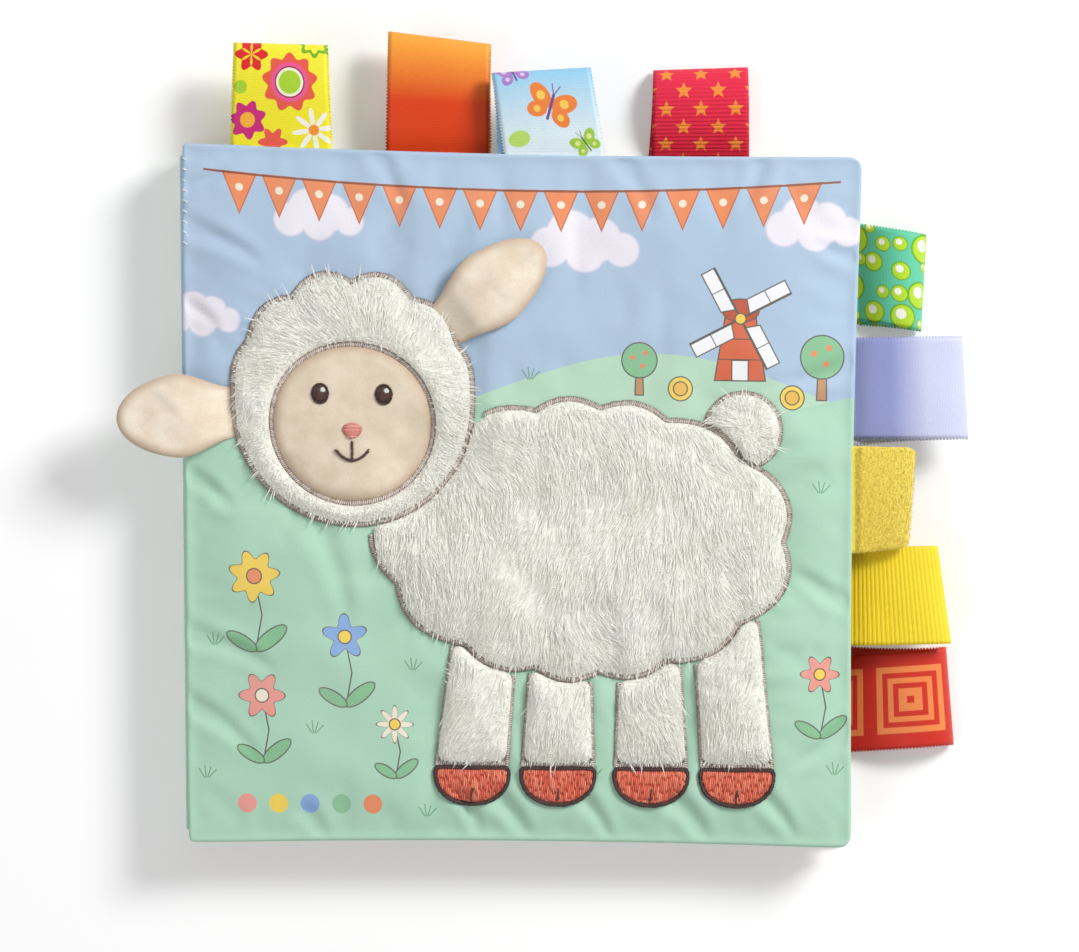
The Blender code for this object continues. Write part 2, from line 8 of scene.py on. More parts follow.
import bpy
import numpy as np
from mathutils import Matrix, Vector


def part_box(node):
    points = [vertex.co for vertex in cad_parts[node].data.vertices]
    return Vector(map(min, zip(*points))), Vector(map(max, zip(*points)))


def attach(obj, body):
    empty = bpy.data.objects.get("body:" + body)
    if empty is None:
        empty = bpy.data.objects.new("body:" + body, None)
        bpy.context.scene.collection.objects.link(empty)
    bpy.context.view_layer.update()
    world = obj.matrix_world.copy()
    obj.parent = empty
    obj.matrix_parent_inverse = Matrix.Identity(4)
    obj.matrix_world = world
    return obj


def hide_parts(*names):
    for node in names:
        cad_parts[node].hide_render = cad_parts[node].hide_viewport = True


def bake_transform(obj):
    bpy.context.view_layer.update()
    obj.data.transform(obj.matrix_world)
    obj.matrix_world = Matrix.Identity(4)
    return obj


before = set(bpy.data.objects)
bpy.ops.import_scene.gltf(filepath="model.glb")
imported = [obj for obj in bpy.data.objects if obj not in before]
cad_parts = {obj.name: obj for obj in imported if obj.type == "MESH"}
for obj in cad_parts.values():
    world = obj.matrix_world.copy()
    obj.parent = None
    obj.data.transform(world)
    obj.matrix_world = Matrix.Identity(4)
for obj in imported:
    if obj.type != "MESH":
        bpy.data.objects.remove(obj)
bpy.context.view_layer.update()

MM = 0.001

# Sizes repeated from the CAD source
HALF_WIDTH = 74.3
HALF_HEIGHT = 76.4
SIDE_DRAW = 1.1
CROWN_POWER = 6
SPINE_Z = 8.1

# Level of each leaf's seam, and how far its faces swell below and above it
SWELL = 1.95
LEAVES = {"back": (0.74, 0, 2 * SWELL), "middle": (8.1, SWELL, SWELL),
          "front": (13.6, SWELL, SWELL)}
LEAF_BODIES = {"back": "back_cover", "middle": "middle_leaf", "front": "front_cover"}

# How softly a printed shape ends
SOFT = 0.12


def smooth(value):
    """0 below 0 and 1 above 1, with a soft curve between."""
    value = np.clip(value, 0, 1)
    return value * value * (3 - 2 * value)


def noise(x, y, cell, seed, octaves=1):
    """A smooth random field from about -1 to 1, with bumps of that size."""
    total, weight = 0, 1
    for octave in range(octaves):
        knots = np.random.default_rng(seed + octave).uniform(-1, 1, (64, 64))
        u, v = np.asarray(x) / cell + 31.7, np.asarray(y) / cell + 17.3
        i, j = np.floor(u).astype(int), np.floor(v).astype(int)
        across, up = smooth(u - i), smooth(v - j)
        corner = [[knots[(i + a) % 64, (j + b) % 64] for b in (0, 1)] for a in (0, 1)]
        low = corner[0][0] * (1 - across) + corner[1][0] * across
        high = corner[0][1] * (1 - across) + corner[1][1] * across
        total = total + weight * (low * (1 - up) + high * up)
        cell, weight = cell / 2, weight / 2
    return total


def warped(x, y):
    """The book's true plan: a little wider at the top, its edges falling to the right.

    Near the spine it keeps inside the hinge line, so that the leaves can turn there.
    """
    at_spine = np.clip(-np.asarray(x) / HALF_WIDTH, 0, 1) ** 2
    wide = x * (1 + 0.000227 * y) + (0.3 + 0.0072 * y) * at_spine
    return wide, y * 1.0053 - 0.015 * x - 0.00008 * x * y


class Paint:
    """A material whose nodes are made by plain calls. Values are sockets or numbers."""

    def __init__(self, name, roughness, specular, sheen=0):
        self.name = name
        self.material = bpy.data.materials.new(name)
        self.material.use_nodes = True
        self.nodes = self.material.node_tree.nodes
        self.links = self.material.node_tree.links
        self.shader = self.nodes["Principled BSDF"]
        self.shader.inputs["Roughness"].default_value = roughness
        self.shader.inputs["Sheen Weight"].default_value = sheen
        self.shader.inputs["Specular IOR Level"].default_value = specular

    def put(self, socket, value):
        if isinstance(value, bpy.types.NodeSocket):
            self.links.new(value, socket)
        elif socket.type == "RGBA":
            socket.default_value = (*value, 1)
        else:
            socket.default_value = value

    def node(self, kind, values=(), out=0, **settings):
        made = self.nodes.new("ShaderNode" + kind)
        for key, value in settings.items():
            setattr(made, key, value)
        pairs = values.items() if isinstance(values, dict) else enumerate(values)
        for key, value in pairs:
            self.put(made.inputs[key], value)
        return made.outputs[out]

    def attribute(self, name, out=1):
        return self.node("Attribute", out=out, attribute_name=name)

    def maths(self, operation, *values, clamp=False):
        return self.node("Math", values, operation=operation, use_clamp=clamp)

    def vector(self, operation, *values, out=0):
        return self.node("VectorMath", values, out=out, operation=operation)

    def split(self, point):
        made = self.nodes.new("ShaderNodeSeparateXYZ")
        self.put(made.inputs[0], point)
        return made.outputs[0], made.outputs[1]

    def join(self, x, y):
        return self.node("CombineXYZ", (x, y, 0))

    def mix(self, share, first, second):
        return self.node("Mix", {0: share, 6: first, 7: second}, out=2, data_type="RGBA")

    def noise(self, point, scale, detail, rough=0.5):
        values = {"Vector": point, "Scale": scale, "Detail": detail, "Roughness": rough}
        return self.node("TexNoise", values)

    def ramp(self, value, low, high, start=0.0, end=1.0):
        return self.node("MapRange", (value, low, high, start, end))

    def colour(self, value):
        self.put(self.shader.inputs["Base Color"], value)

    def bump(self, height, distance, strength):
        values = {"Strength": strength, "Distance": distance * MM, "Height": height}
        made = self.node("Bump", values)
        self.links.new(made, self.shader.inputs["Normal"])

    # Masks are 1 inside a shape and 0 outside. Their sizes are in the given point's units.

    def inside(self, distance, limit, soft=SOFT):
        return self.maths("MULTIPLY_ADD", distance, -1 / soft, 0.5 + limit / soft, clamp=True)

    def disc(self, point, centre, radius, soft=SOFT):
        distance = self.vector("DISTANCE", point, (*centre, 0), out=1)
        return self.inside(distance, radius, soft)

    def oval(self, point, centre, reach, turn):
        """A filled oval. The turn is in degrees."""
        local = self.local(point, centre, turn)
        scaled = self.vector("MULTIPLY", local, (1 / reach[0], 1 / reach[1], 0))
        distance = self.vector("LENGTH", scaled, out=1)
        return self.inside(distance, 1, SOFT / min(reach))

    def local(self, point, centre, turn):
        """The point as seen from a centre, with its x axis turned by that many degrees."""
        moved = self.vector("SUBTRACT", point, (*centre, 0))
        if not turn:
            return moved
        values = {"Vector": moved, "Angle": -math.radians(turn)}
        return self.node("VectorRotate", values, rotation_type="Z_AXIS")

    def stroke(self, point, start, end, width, soft=SOFT):
        """A line with round ends."""
        start, end = Vector((*start, 0)), Vector((*end, 0))
        along = end - start
        moved = self.vector("SUBTRACT", point, tuple(start))
        share = self.vector("DOT_PRODUCT", moved, tuple(along / along.length_squared), out=1)
        share = self.maths("MULTIPLY", share, 1.0, clamp=True)
        nearest = self.node("VectorMath", {0: tuple(along), 3: share}, operation="SCALE")
        distance = self.vector("DISTANCE", moved, nearest, out=1)
        return self.inside(distance, width / 2, soft)

    def petals(self, point, centre, reach, count, turn, depth):
        """A flower with that many round petals, their notches that share of its reach deep."""
        x, y = self.split(self.local(point, centre, turn))
        angle = self.maths("ARCTAN2", y, x)
        wave = self.maths("COSINE", self.maths("MULTIPLY", angle, count))
        edge = self.maths("MULTIPLY_ADD", wave, reach * depth, reach * (1 - depth))
        distance = self.vector("LENGTH", self.join(x, y), out=1)
        return self.inside(self.maths("SUBTRACT", distance, edge), 0)

    def both(self, first, second):
        return self.maths("MULTIPLY", first, second)

    def either(self, first, second):
        return self.maths("MAXIMUM", first, second)


def add_object(name, data):
    made = bpy.data.objects.new(name, data)
    bpy.context.scene.collection.objects.link(made)
    return made


def add_mesh(name, points, faces, paints, flat=None, tint=None, smooth_faces=True, slots=None):
    """A mesh from millimetre points.

    flat is each point's place on the cut cloth, and slots each face's paint in a list of them.
    """
    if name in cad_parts:
        name = f"soft_{name}"
    mesh = bpy.data.meshes.new(name)
    if isinstance(faces, np.ndarray):
        faces = faces.tolist()
    mesh.from_pydata((points * MM).tolist(), [], faces)
    for paint in paints if isinstance(paints, list) else [paints]:
        mesh.materials.append(paint.material)
    if flat is not None:
        field = mesh.attributes.new("flat", "FLOAT_VECTOR", "POINT")
        flat = np.asarray(flat, np.float32)
        if flat.shape[1] == 2:
            flat = np.column_stack([flat, np.zeros(len(flat), np.float32)])
        field.data.foreach_set("vector", flat.ravel())
    if tint is not None:
        field = mesh.attributes.new("tint", "FLOAT", "POINT")
        field.data.foreach_set("value", np.asarray(tint, np.float32))
    if slots is not None:
        mesh.polygons.foreach_set("material_index", np.asarray(slots, np.int32))
    mesh.polygons.foreach_set("use_smooth", np.full(len(mesh.polygons), smooth_faces))
    mesh.validate()
    mesh.update()
    return add_object(name, mesh)


def fit(piece, node, body, slot):
    """Says which body a piece rides on and hides the CAD node that it replaces. The slot is not
    used.
    """
    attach(piece, body)
    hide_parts(node)


def placed(x, y, *levels):
    """Points of surfaces at those levels, fitted to the book's true plan."""
    wide, high = warped(x, y)
    return np.vstack([np.stack([wide, high, level], -1).reshape(-1, 3) for level in levels])


def doubled(x, y):
    """Places on the cut cloth for both faces of a sheet."""
    return np.tile(np.stack([x, y], -1).reshape(-1, 2), (2, 1))


def grid_faces(columns, rows, start=0, flip=False, wrap=False):
    """Quads of a grid whose points run along columns first."""
    i, j = np.meshgrid(np.arange(columns if wrap else columns - 1), np.arange(rows - 1))
    a = (j * columns + i).ravel()
    b = (j * columns + (i + 1) % columns).ravel()
    quads = np.column_stack([a, b, b + columns, a + columns]) + start
    return quads[:, ::-1] if flip else quads


def sheet_faces(columns, rows):
    """Faces of a closed sheet: an outer grid, an inner grid after it, and the rim between."""
    count = columns * rows
    rim = list(range(columns)) + [j * columns + columns - 1 for j in range(1, rows)]
    rim += [count - 1 - i for i in range(1, columns)]
    rim += [j * columns for j in range(rows - 2, 0, -1)]
    around = np.array(rim)
    after = np.roll(around, -1)
    band = np.column_stack([around, around + count, after + count, after])
    inner = grid_faces(columns, rows, count, flip=True)
    return np.vstack([grid_faces(columns, rows), inner, band])


def repeated(pattern, count, step):
    """The faces of one small shape, for that many of them with step points each."""
    starts = (np.arange(count) * step)[:, None]
    faces = []
    for face in pattern:
        faces += (starts + np.array(face)).tolist()
    return faces


# Camera, light and floor

SENSOR, LENS = 36, 225
CAMERA_PLACE = (4.18, 4.73, 1500)
WORLD_LIGHT = 0.36
FLOOR_GREY, FLOOR_GLOW = 0.86, 0.2
FLOOR_REACH, FLOOR_LEVEL = 4000, -0.05


def make_camera():
    data = bpy.data.cameras.new("photo_camera")
    data.sensor_width = SENSOR
    data.lens = LENS
    camera = add_object("photo_camera", data)
    camera.location = Vector(CAMERA_PLACE) * MM
    bpy.context.scene.camera = camera


def lamp(name, place, size, power):
    """A square lamp that faces the book. Its place and size are in metres."""
    data = bpy.data.lights.new(name, "AREA")
    data.size = size
    data.energy = power
    light = add_object(name, data)
    light.location = place
    light.rotation_euler = (-Vector(place)).to_track_quat("-Z", "Y").to_euler()


def seen_directly(nodes, links):
    """1 for rays from the camera, a mirror or glass, which see the plain background."""
    path = nodes.new("ShaderNodeLightPath")
    total = path.outputs["Is Camera Ray"]
    for label in ("Is Glossy Ray", "Is Transmission Ray"):
        larger = nodes.new("ShaderNodeMath")
        larger.operation = "MAXIMUM"
        links.new(total, larger.inputs[0])
        links.new(path.outputs[label], larger.inputs[1])
        total = larger.outputs[0]
    return total


def make_world():
    world = bpy.data.worlds.new("soft_studio")
    bpy.context.scene.world = world
    world.use_nodes = True
    nodes, links = world.node_tree.nodes, world.node_tree.links
    strength = nodes.new("ShaderNodeMapRange")
    links.new(seen_directly(nodes, links), strength.inputs[0])
    strength.inputs[3].default_value = WORLD_LIGHT
    strength.inputs[4].default_value = 1
    links.new(strength.outputs[0], nodes["Background"].inputs["Strength"])
    nodes["Background"].inputs["Color"].default_value = (1, 1, 1, 1)


def make_floor():
    paint = Paint("studio_floor", roughness=0.9, specular=0.1)
    paint.colour((FLOOR_GREY, FLOOR_GREY, FLOOR_GREY))
    glow = paint.maths("MULTIPLY", seen_directly(paint.nodes, paint.links), FLOOR_GLOW)
    paint.put(paint.shader.inputs["Emission Color"], (1, 1, 1))
    paint.put(paint.shader.inputs["Emission Strength"], glow)
    corners = np.array([(-1, -1, 0), (1, -1, 0), (1, 1, 0), (-1, 1, 0)]) * FLOOR_REACH
    floor = add_mesh("floor", corners + (0, 0, FLOOR_LEVEL), [(0, 1, 2, 3)], paint)


bpy.context.scene.view_settings.view_transform = "Standard"
make_camera()
make_world()
lamp("key_light", place=(0.84, 0.66, 0.8), size=0.42, power=15.2)
lamp("fill_light", place=(-1.2, -0.8, 1.3), size=1.4, power=8)
make_floor()


# Outlines of the sheep, repeated from the CAD source

BODY = (13.97, -9.02)
BODY_HALF = (43, 28)
HEAD = (-37.0, 20.02)
HEAD_RADIUS = 25.5
FACE_RADIUS = 16.5
FACE_DROP = 4.5
CHANNEL = 1.8
TAIL_RADIUS = 7.5
TAIL_ANGLE = 35
TAIL_STEM = 5
LEG_SHARES = (-0.52, -0.12, 0.34, 0.74)
LEG_LEANS = (-2.5, -0.5, 0.5, 2.5)
LEG_WIDTH = 12.5
LEG_FOOT = -57.45
FOOT_HALF = LEG_WIDTH / 2 + 1
HOOF_HEIGHT = 8
HOOF_HALF = 8.25


def body_reach(angle):
    oval = BODY_HALF[0] * BODY_HALF[1] / np.hypot(
        BODY_HALF[1] * np.cos(angle), BODY_HALF[0] * np.sin(angle))
    return oval * (1 + 0.07 * np.abs(np.sin(6.5 * angle)))


def head_reach(angle):
    return HEAD_RADIUS * (1 + 0.1 * np.abs(np.sin(6 * angle)) * np.clip(np.sin(angle), 0, 1))


def face_reach(angle):
    return FACE_RADIUS - FACE_DROP * np.sin(angle)


def beyond(centre, reach, x, y):
    """How far outside an outline a place lies. It is negative inside."""
    dx, dy = x - centre[0], y - centre[1]
    return np.hypot(dx, dy) - reach(np.arctan2(dy, dx))


def outline(centre, reach, count, keep_out=None, grow=0, start=0):
    """Places round a centre. Each stops short where keep_out bars the way to it."""
    angles = start + np.linspace(0, 2 * np.pi, count, endpoint=False)
    cos, sin = np.cos(angles), np.sin(angles)
    limit = reach(angles)
    if keep_out:
        steps = np.linspace(0, 1, 400)[:, None] * limit
        barred = keep_out(centre[0] + steps * cos, centre[1] + steps * sin)
        first = np.argmax(barred, axis=0)
        limit = np.where(barred.any(axis=0), steps[first, np.arange(count)], limit)
    limit = limit + grow
    return np.column_stack([centre[0] + limit * cos, centre[1] + limit * sin])


def in_head(x, y):
    return beyond(HEAD, head_reach, x, y) < CHANNEL


def in_body(x, y):
    return beyond(BODY, body_reach, x, y) < CHANNEL + 0.3


def leg_middles():
    """Each leg's middle under the body, and at its foot."""
    for share, lean in zip(LEG_SHARES, LEG_LEANS):
        middle = BODY[0] + share * BODY_HALF[0]
        yield middle, middle + lean


def leg_top(x):
    """Where a leg's fleece ends under the body, at places along it."""
    heights = np.arange(LEG_FOOT, 30, 0.05)[:, None]
    barred = in_body(x[None, :], heights) | in_head(x[None, :], heights)
    return heights[np.argmax(barred, axis=0), 0]


def leg_outline(middle, foot):
    x = middle + LEG_WIDTH * np.linspace(0.5, -0.5, 24)
    bottom = np.array([(foot - FOOT_HALF, LEG_FOOT), (foot, LEG_FOOT - 0.3),
                       (foot + FOOT_HALF, LEG_FOOT)])
    places = np.vstack([np.column_stack([x, leg_top(x)]), bottom])
    return rounded(spaced(places, 160, True), 1.2)


def hoof_outline(foot):
    angles = np.pi * (1 + np.linspace(0, 1, 60))
    dip = np.abs(np.sin(angles)) ** 0.7
    x = foot + HOOF_HALF * np.cos(angles)
    places = np.column_stack([x, LEG_FOOT - CHANNEL - HOOF_HEIGHT * dip])
    return rounded(spaced(places, 120, True), 0.8)


def spaced(places, count, closed):
    """Places at even steps along a line through the given ones."""
    places = np.asarray(places, float)
    if closed:
        places = np.vstack([places, places[:1]])
    steps = np.hypot(*np.diff(places, axis=0).T)
    travelled = np.concatenate([[0], np.cumsum(steps)])
    wanted = np.linspace(0, travelled[-1], count, endpoint=not closed)
    return np.column_stack([np.interp(wanted, travelled, axis) for axis in places.T])


def length_of(places):
    return np.hypot(*np.diff(places, axis=0).T).sum()


def rounded(places, spread):
    """A closed outline of even steps with its corners rounded over that distance."""
    pitch = np.hypot(*(places[1] - places[0]))
    reach = max(1, int(3 * spread / pitch))
    weights = np.exp(-0.5 * (np.arange(-reach, reach + 1) * pitch / spread) ** 2)
    turned = [np.roll(places, shift, axis=0) for shift in range(-reach, reach + 1)]
    return np.tensordot(weights / weights.sum(), turned, 1)


# Leaves

# Lower cloth, film, wadding and upper cloth of each leaf
LEAF_PIECES = {
    "back": ("back_cover_outer_panel", "back_cover_crinkle_film", "back_cover_wadding",
             "back_cover_inner_panel"),
    "middle": ("middle_leaf_under_panel", "middle_leaf_crinkle_film", "middle_leaf_wadding",
               "middle_leaf_upper_panel"),
    "front": ("front_cover_inner_panel", "front_cover_crinkle_film", "front_cover_wadding",
              "front_cover_outer_panel"),
}

# Each leaf's edges: their droop, how much more they rise and fall, and the seed of that
WAVES = {"back": (-0.4, 0.4, 3), "middle": (0.4, 0.9, 4), "front": (1.0, 1.0, 6)}

# The cloth simulation: its enlargement, its frames, and how firmly the open cloth is held
SIM_SCALE, SIM_FRAMES = 12, 16
LOOSE = 0.03
SIM_SETTINGS = {
    "vertex_group_mass": "sewn", "quality": 5, "mass": 0.3, "use_pressure": True,
    "uniform_pressure_force": 2, "tension_stiffness": 15, "compression_stiffness": 15,
    "shear_stiffness": 5, "bending_stiffness": 2, "shrink_min": -0.03,
}
FOLD_ROWS, FOLD_COLUMNS = 58, 56
FOLD_DEPTH = 1.8
RIM = 0.65
CLOTH = 0.4
FREE_CORNER, SPINE_CORNER = 2.6, 1.0


def blurred(field, spread):
    """A grid blurred over that many cells."""
    reach = int(3 * spread)
    weights = np.exp(-0.5 * (np.arange(-reach, reach + 1) / spread) ** 2)
    weights /= weights.sum()

    def along(line):
        return np.convolve(np.pad(line, reach, "edge"), weights, "valid")

    return np.apply_along_axis(along, 1, np.apply_along_axis(along, 0, field))


def unit_grid(columns, rows):
    return np.meshgrid(np.linspace(-1, 1, columns), np.linspace(-1, 1, rows))


def simulate_folds(held, seed):
    """Blows up a slightly large cloth that is sewn down where held is 1, on a grid over a leaf.

    Gives how deep its folds are at each point of the grid, from 0 on a ridge to 1 in a valley.
    """
    s, t = unit_grid(FOLD_COLUMNS, FOLD_ROWS)
    height = 2.4 * (1 - s ** 8) * (1 - t ** 8)
    height += np.random.default_rng(seed).normal(0, 0.05, s.shape)
    points = np.stack([s * HALF_WIDTH, t * HALF_HEIGHT, height], -1).reshape(-1, 3)
    scale = SIM_SCALE * MM
    mesh = bpy.data.meshes.new("folding_cloth")
    faces = grid_faces(FOLD_COLUMNS, FOLD_ROWS)
    mesh.from_pydata((points * scale).tolist(), [], faces.tolist())
    cloth = add_object("folding_cloth", mesh)
    group = cloth.vertex_groups.new(name="sewn")
    for index, weight in enumerate(held.ravel()):
        group.add([index], float(weight), "REPLACE")
    modifier = cloth.modifiers.new("Cloth", "CLOTH")
    for label, value in SIM_SETTINGS.items():
        setattr(modifier.settings, label, value)
    modifier.settings.effector_weights.gravity = 0
    modifier.collision_settings.use_collision = False
    modifier.point_cache.frame_start = 1
    modifier.point_cache.frame_end = SIM_FRAMES
    for step in range(SIM_FRAMES):
        bpy.context.scene.frame_set(step + 1)
    shaped = cloth.evaluated_get(bpy.context.evaluated_depsgraph_get()).to_mesh()
    found = np.zeros(len(points) * 3)
    shaped.vertices.foreach_get("co", found)
    bpy.data.objects.remove(cloth, do_unlink=True)
    bpy.data.meshes.remove(mesh)
    bpy.context.scene.frame_set(1)
    blown = found.reshape(*held.shape, 3)[..., 2] / scale
    ridges = blown - blurred(blown, 3.5)
    soft = 0.3 * noise(s * HALF_WIDTH, t * HALF_HEIGHT, 13, seed + 60, 2)
    return 0.5 - 0.5 * np.tanh(ridges / 1.3) + soft


def sampled(grid, s, t):
    """A grid's value at places of the unit square, by smooth curves between its points."""
    rows, columns = grid.shape
    u, v = (np.asarray(s) + 1) / 2 * (columns - 1), (np.asarray(t) + 1) / 2 * (rows - 1)
    i = np.clip(np.floor(u).astype(int), 0, columns - 2)
    j = np.clip(np.floor(v).astype(int), 0, rows - 2)

    def weights(f):
        return (((2 - f) * f - 1) * f / 2, ((3 * f - 5) * f * f + 2) / 2,
                ((4 - 3 * f) * f + 1) * f / 2, (f - 1) * f * f / 2)

    total = 0
    for a, weight_v in zip((-1, 0, 1, 2), weights(v - j)):
        for b, weight_u in zip((-1, 0, 1, 2), weights(u - i)):
            row, column = np.clip(j + a, 0, rows - 1), np.clip(i + b, 0, columns - 1)
            total = total + weight_v * weight_u * grid[row, column]
    return total


def leaf_plan(s, t, inset=0):
    """Plan place of a point of the unit square on a leaf: drawn-in sides and round corners."""
    corner = 1 - 0.004 * np.abs(s * t) ** 12
    half_width = HALF_WIDTH - inset - SIDE_DRAW * (1 - t * t) * np.clip(s, 0, 1)
    half_height = HALF_HEIGHT - inset - SIDE_DRAW * (1 - s * s)
    # Each corner's square is drawn in to a quarter of a disc
    radius = np.where(s > 0, FREE_CORNER, SPINE_CORNER)
    a = np.clip(1 - (1 - np.abs(s)) * half_width / radius, 0, 1)
    b = np.clip(1 - (1 - np.abs(t)) * half_height / radius, 0, 1)
    in_x = radius * a * (1 - np.sqrt(1 - b * b / 2))
    in_y = radius * b * (1 - np.sqrt(1 - a * a / 2))
    return (s * corner * half_width - np.sign(s) * in_x,
            t * corner * half_height - np.sign(t) * in_y)


def leaf_share(x, y):
    """The point of the unit square that lies at a plan place."""
    t = np.clip(y / HALF_HEIGHT, -1, 1)
    s = np.clip(x / HALF_WIDTH, -1, 1)
    for _ in range(3):
        s = np.clip(x / (HALF_WIDTH - SIDE_DRAW * (1 - t * t) * np.clip(s, 0, 1)), -1, 1)
        t = np.clip(y / (HALF_HEIGHT - SIDE_DRAW * (1 - s * s)), -1, 1)
    return s, t


def wave(leaf, s, t):
    """How far a leaf's free edges lie out of its plane: they droop, and rise and fall."""
    free = np.maximum(np.abs(t) ** 4, np.clip(s, 0, 1) ** 4) * smooth((s + 1) / 0.3)
    droop, swing, seed = WAVES[leaf]
    return free * (swing * noise(s * HALF_WIDTH, t * HALF_HEIGHT, 34, seed) - droop)


# Creases of the cover: start and end in plan, breadth and depth
COVER_CREASES = (
    ((-14, -66), (-9, -75.6), 1.3, 0.95), ((-5, -67), (2, -75.8), 1.6, 1.1),
    ((15, -67.5), (20, -75.8), 1.3, 0.9), ((35, -67), (42, -75.8), 1.7, 1.2),
    ((55, -66), (62, -75.2), 1.4, 0.9), ((-48, -70), (-44, -75.8), 1.5, 0.7),
    ((-73.6, -31), (-54, -39), 1.7, 0.95), ((-73.6, -46), (-58, -58), 1.5, 0.9),
    ((-73.6, 58), (-56, 50), 1.6, 1.0), ((-73.8, 66), (-62, 70), 1.3, 0.7),
    ((-73.8, 4), (-63, -4), 1.4, 0.8), ((-73.6, 41), (-66, 36), 1.2, 0.7),
    ((73.2, -50), (60, -59), 1.6, 0.9), ((73.2, -22), (61, -15), 1.5, 0.8),
    ((73.4, 31), (57, 26), 1.8, 0.7), ((73.2, 54), (63, 58), 1.4, 0.6),
    ((-31, 75.6), (-26, 63), 1.5, 0.6), ((22, 75.6), (29, 61), 1.7, 0.6),
    ((52, 75.4), (48, 64), 1.5, 0.5), ((-44, -9), (-38, -30), 2.0, 0.7),
)


def page_creases(seed):
    """Sixteen short creases that start at a leaf's edges."""
    draw = np.random.default_rng(seed)
    found = []
    for number in range(16):
        share, reach, slip = draw.uniform(-0.9, 0.9), draw.uniform(9, 19), draw.normal(0, 4)
        half, other = ((HALF_WIDTH, HALF_HEIGHT), (HALF_HEIGHT, HALF_WIDTH))[number % 2]
        sign = 1 if number % 4 < 2 else -1
        start = (sign * (half - 0.8), share * other)
        end = (sign * (half - reach), share * other + slip)
        if number % 2:
            start, end = start[::-1], end[::-1]
        found.append((start, end, draw.uniform(2.0, 2.8), draw.uniform(0.35, 0.6)))
    return found


CREASES = {(leaf, side): page_creases(400 + 10 * index + side)
           for index, leaf in enumerate(WAVES) for side in (-1, 1)}
CREASES["front", 1] = COVER_CREASES


def creased(leaf, side, x, y):
    """How far creases sink a leaf's cloth at plan places. Their shoulders rise a little."""
    total = 0
    for start, end, breadth, depth in CREASES[leaf, side]:
        way = np.subtract(end, start)
        length = np.hypot(*way)
        way = way / length
        along = np.clip(((x - start[0]) * way[0] + (y - start[1]) * way[1]) / length, 0, 1)
        bend = 0.05 * length * np.sin(np.pi * along)
        aside = np.hypot(x - start[0] - way[0] * along * length + way[1] * bend,
                         y - start[1] - way[1] * along * length - way[0] * bend)
        wide = breadth * (1.15 - 0.45 * along)
        valley = np.exp(-(aside / wide) ** 2)
        shoulder = np.exp(-((aside - 2 * wide) / (1.1 * wide)) ** 2)
        total = total + depth * (1 - along ** 3) * (valley - 0.4 * shoulder)
    return total


def leaf_height(leaf, side, s, t, folds, rim=RIM, lift=0.08):
    """Level of a leaf's upper or lower cloth: a round rim, a crown, and folds sunk into it."""
    seam, down, up = LEAVES[leaf]
    swelling = up if side > 0 else down
    full = min(1, swelling / SWELL)
    edge = np.minimum((1 - np.abs(s)) * HALF_WIDTH, (1 - np.abs(t)) * HALF_HEIGHT)
    rise = rim * np.sqrt(1 - (1 - np.clip(edge / RIM, 0, 1)) ** 2)
    crown = (1 - np.abs(s) ** CROWN_POWER) * (1 - np.abs(t) ** CROWN_POWER)
    sunk = FOLD_DEPTH * sampled(folds, s, t) * smooth(edge / 2.5) * full
    sharp = creased(leaf, side, s * HALF_WIDTH, t * HALF_HEIGHT) * smooth(edge / 1.8)
    if swelling:
        rise = rise + swelling * crown - sunk * (0.3 + 0.7 * crown)
        rise = np.maximum(rise - sharp * full, 0.3 * rise)
    return seam + wave(leaf, s, t) + side * (rise + lift)


def lining_height(leaf, side, s, t, folds):
    """Level of the inner face of a leaf's upper or lower cloth."""
    return leaf_height(leaf, side, s, t, folds, rim=RIM - CLOTH, lift=0.02)


def shares(cells, half):
    """Grid shares from -1 to 1 that crowd together at the rim."""
    rim = np.array([0, 0.06, 0.2, 0.42, 0.75, 1.2]) / half
    inner = np.linspace(-1 + 1.8 / half, 1 - 1.8 / half, cells)
    return np.concatenate([rim - 1, inner, 1 - rim[::-1]])


def panel(leaf, side, cells, folds, paints, slot):
    """One cloth face of a leaf, sewn to the other round the edge."""
    s, t = np.meshgrid(shares(cells, HALF_WIDTH), shares(cells, HALF_HEIGHT))
    x, y = leaf_plan(s, t)
    points = placed(x, y, leaf_height(leaf, side, s, t, folds),
                    lining_height(leaf, side, s, t, folds))
    rows, columns = s.shape
    faces = sheet_faces(columns, rows)
    if side < 0:
        faces = faces[:, ::-1]
    flat = doubled(x, y)
    slots = None
    if isinstance(paints, list):
        slots = window_of(*flat[faces].mean(axis=1).T)
    low_cloth, foil, pad, high_cloth = LEAF_PIECES[leaf]
    name, filling = (high_cloth, pad) if side > 0 else (low_cloth, foil)
    piece = add_mesh(name, points, faces, paints, flat=flat, slots=slots)
    fit(piece, name, LEAF_BODIES[leaf], slot)


def edge_held():
    """Weights of a leaf's grid: sewn at its edge, nearly free inside."""
    held = np.full((FOLD_ROWS, FOLD_COLUMNS), LOOSE)
    held[[0, -1], :] = 1
    held[:, [0, -1]] = 1
    return held


def sheep_held():
    """The same for the cover, also sewn down along the sheep's outlines."""
    held = edge_held()
    x, y = leaf_plan(*unit_grid(FOLD_COLUMNS, FOLD_ROWS))
    lines = [outline(BODY, body_reach, 200), outline(HEAD, head_reach, 160)]
    lines += [leg_outline(*middles) for middles in leg_middles()]
    for line in lines:
        apart = np.hypot(x[..., None] - line[:, 0], y[..., None] - line[:, 1]).min(-1)
        held = np.maximum(held, np.exp(-(apart / 1.6) ** 2))
    return held


COVER_FOLDS = simulate_folds(sheep_held(), seed=5)
PAGE_FOLDS = simulate_folds(edge_held(), seed=8)


def cover_level(x, y):
    """Level of the cover's cloth at plan places."""
    s, t = leaf_share(x, y)
    return leaf_height("front", 1, s, t, COVER_FOLDS)


# Finishes of fleece, velour and thread

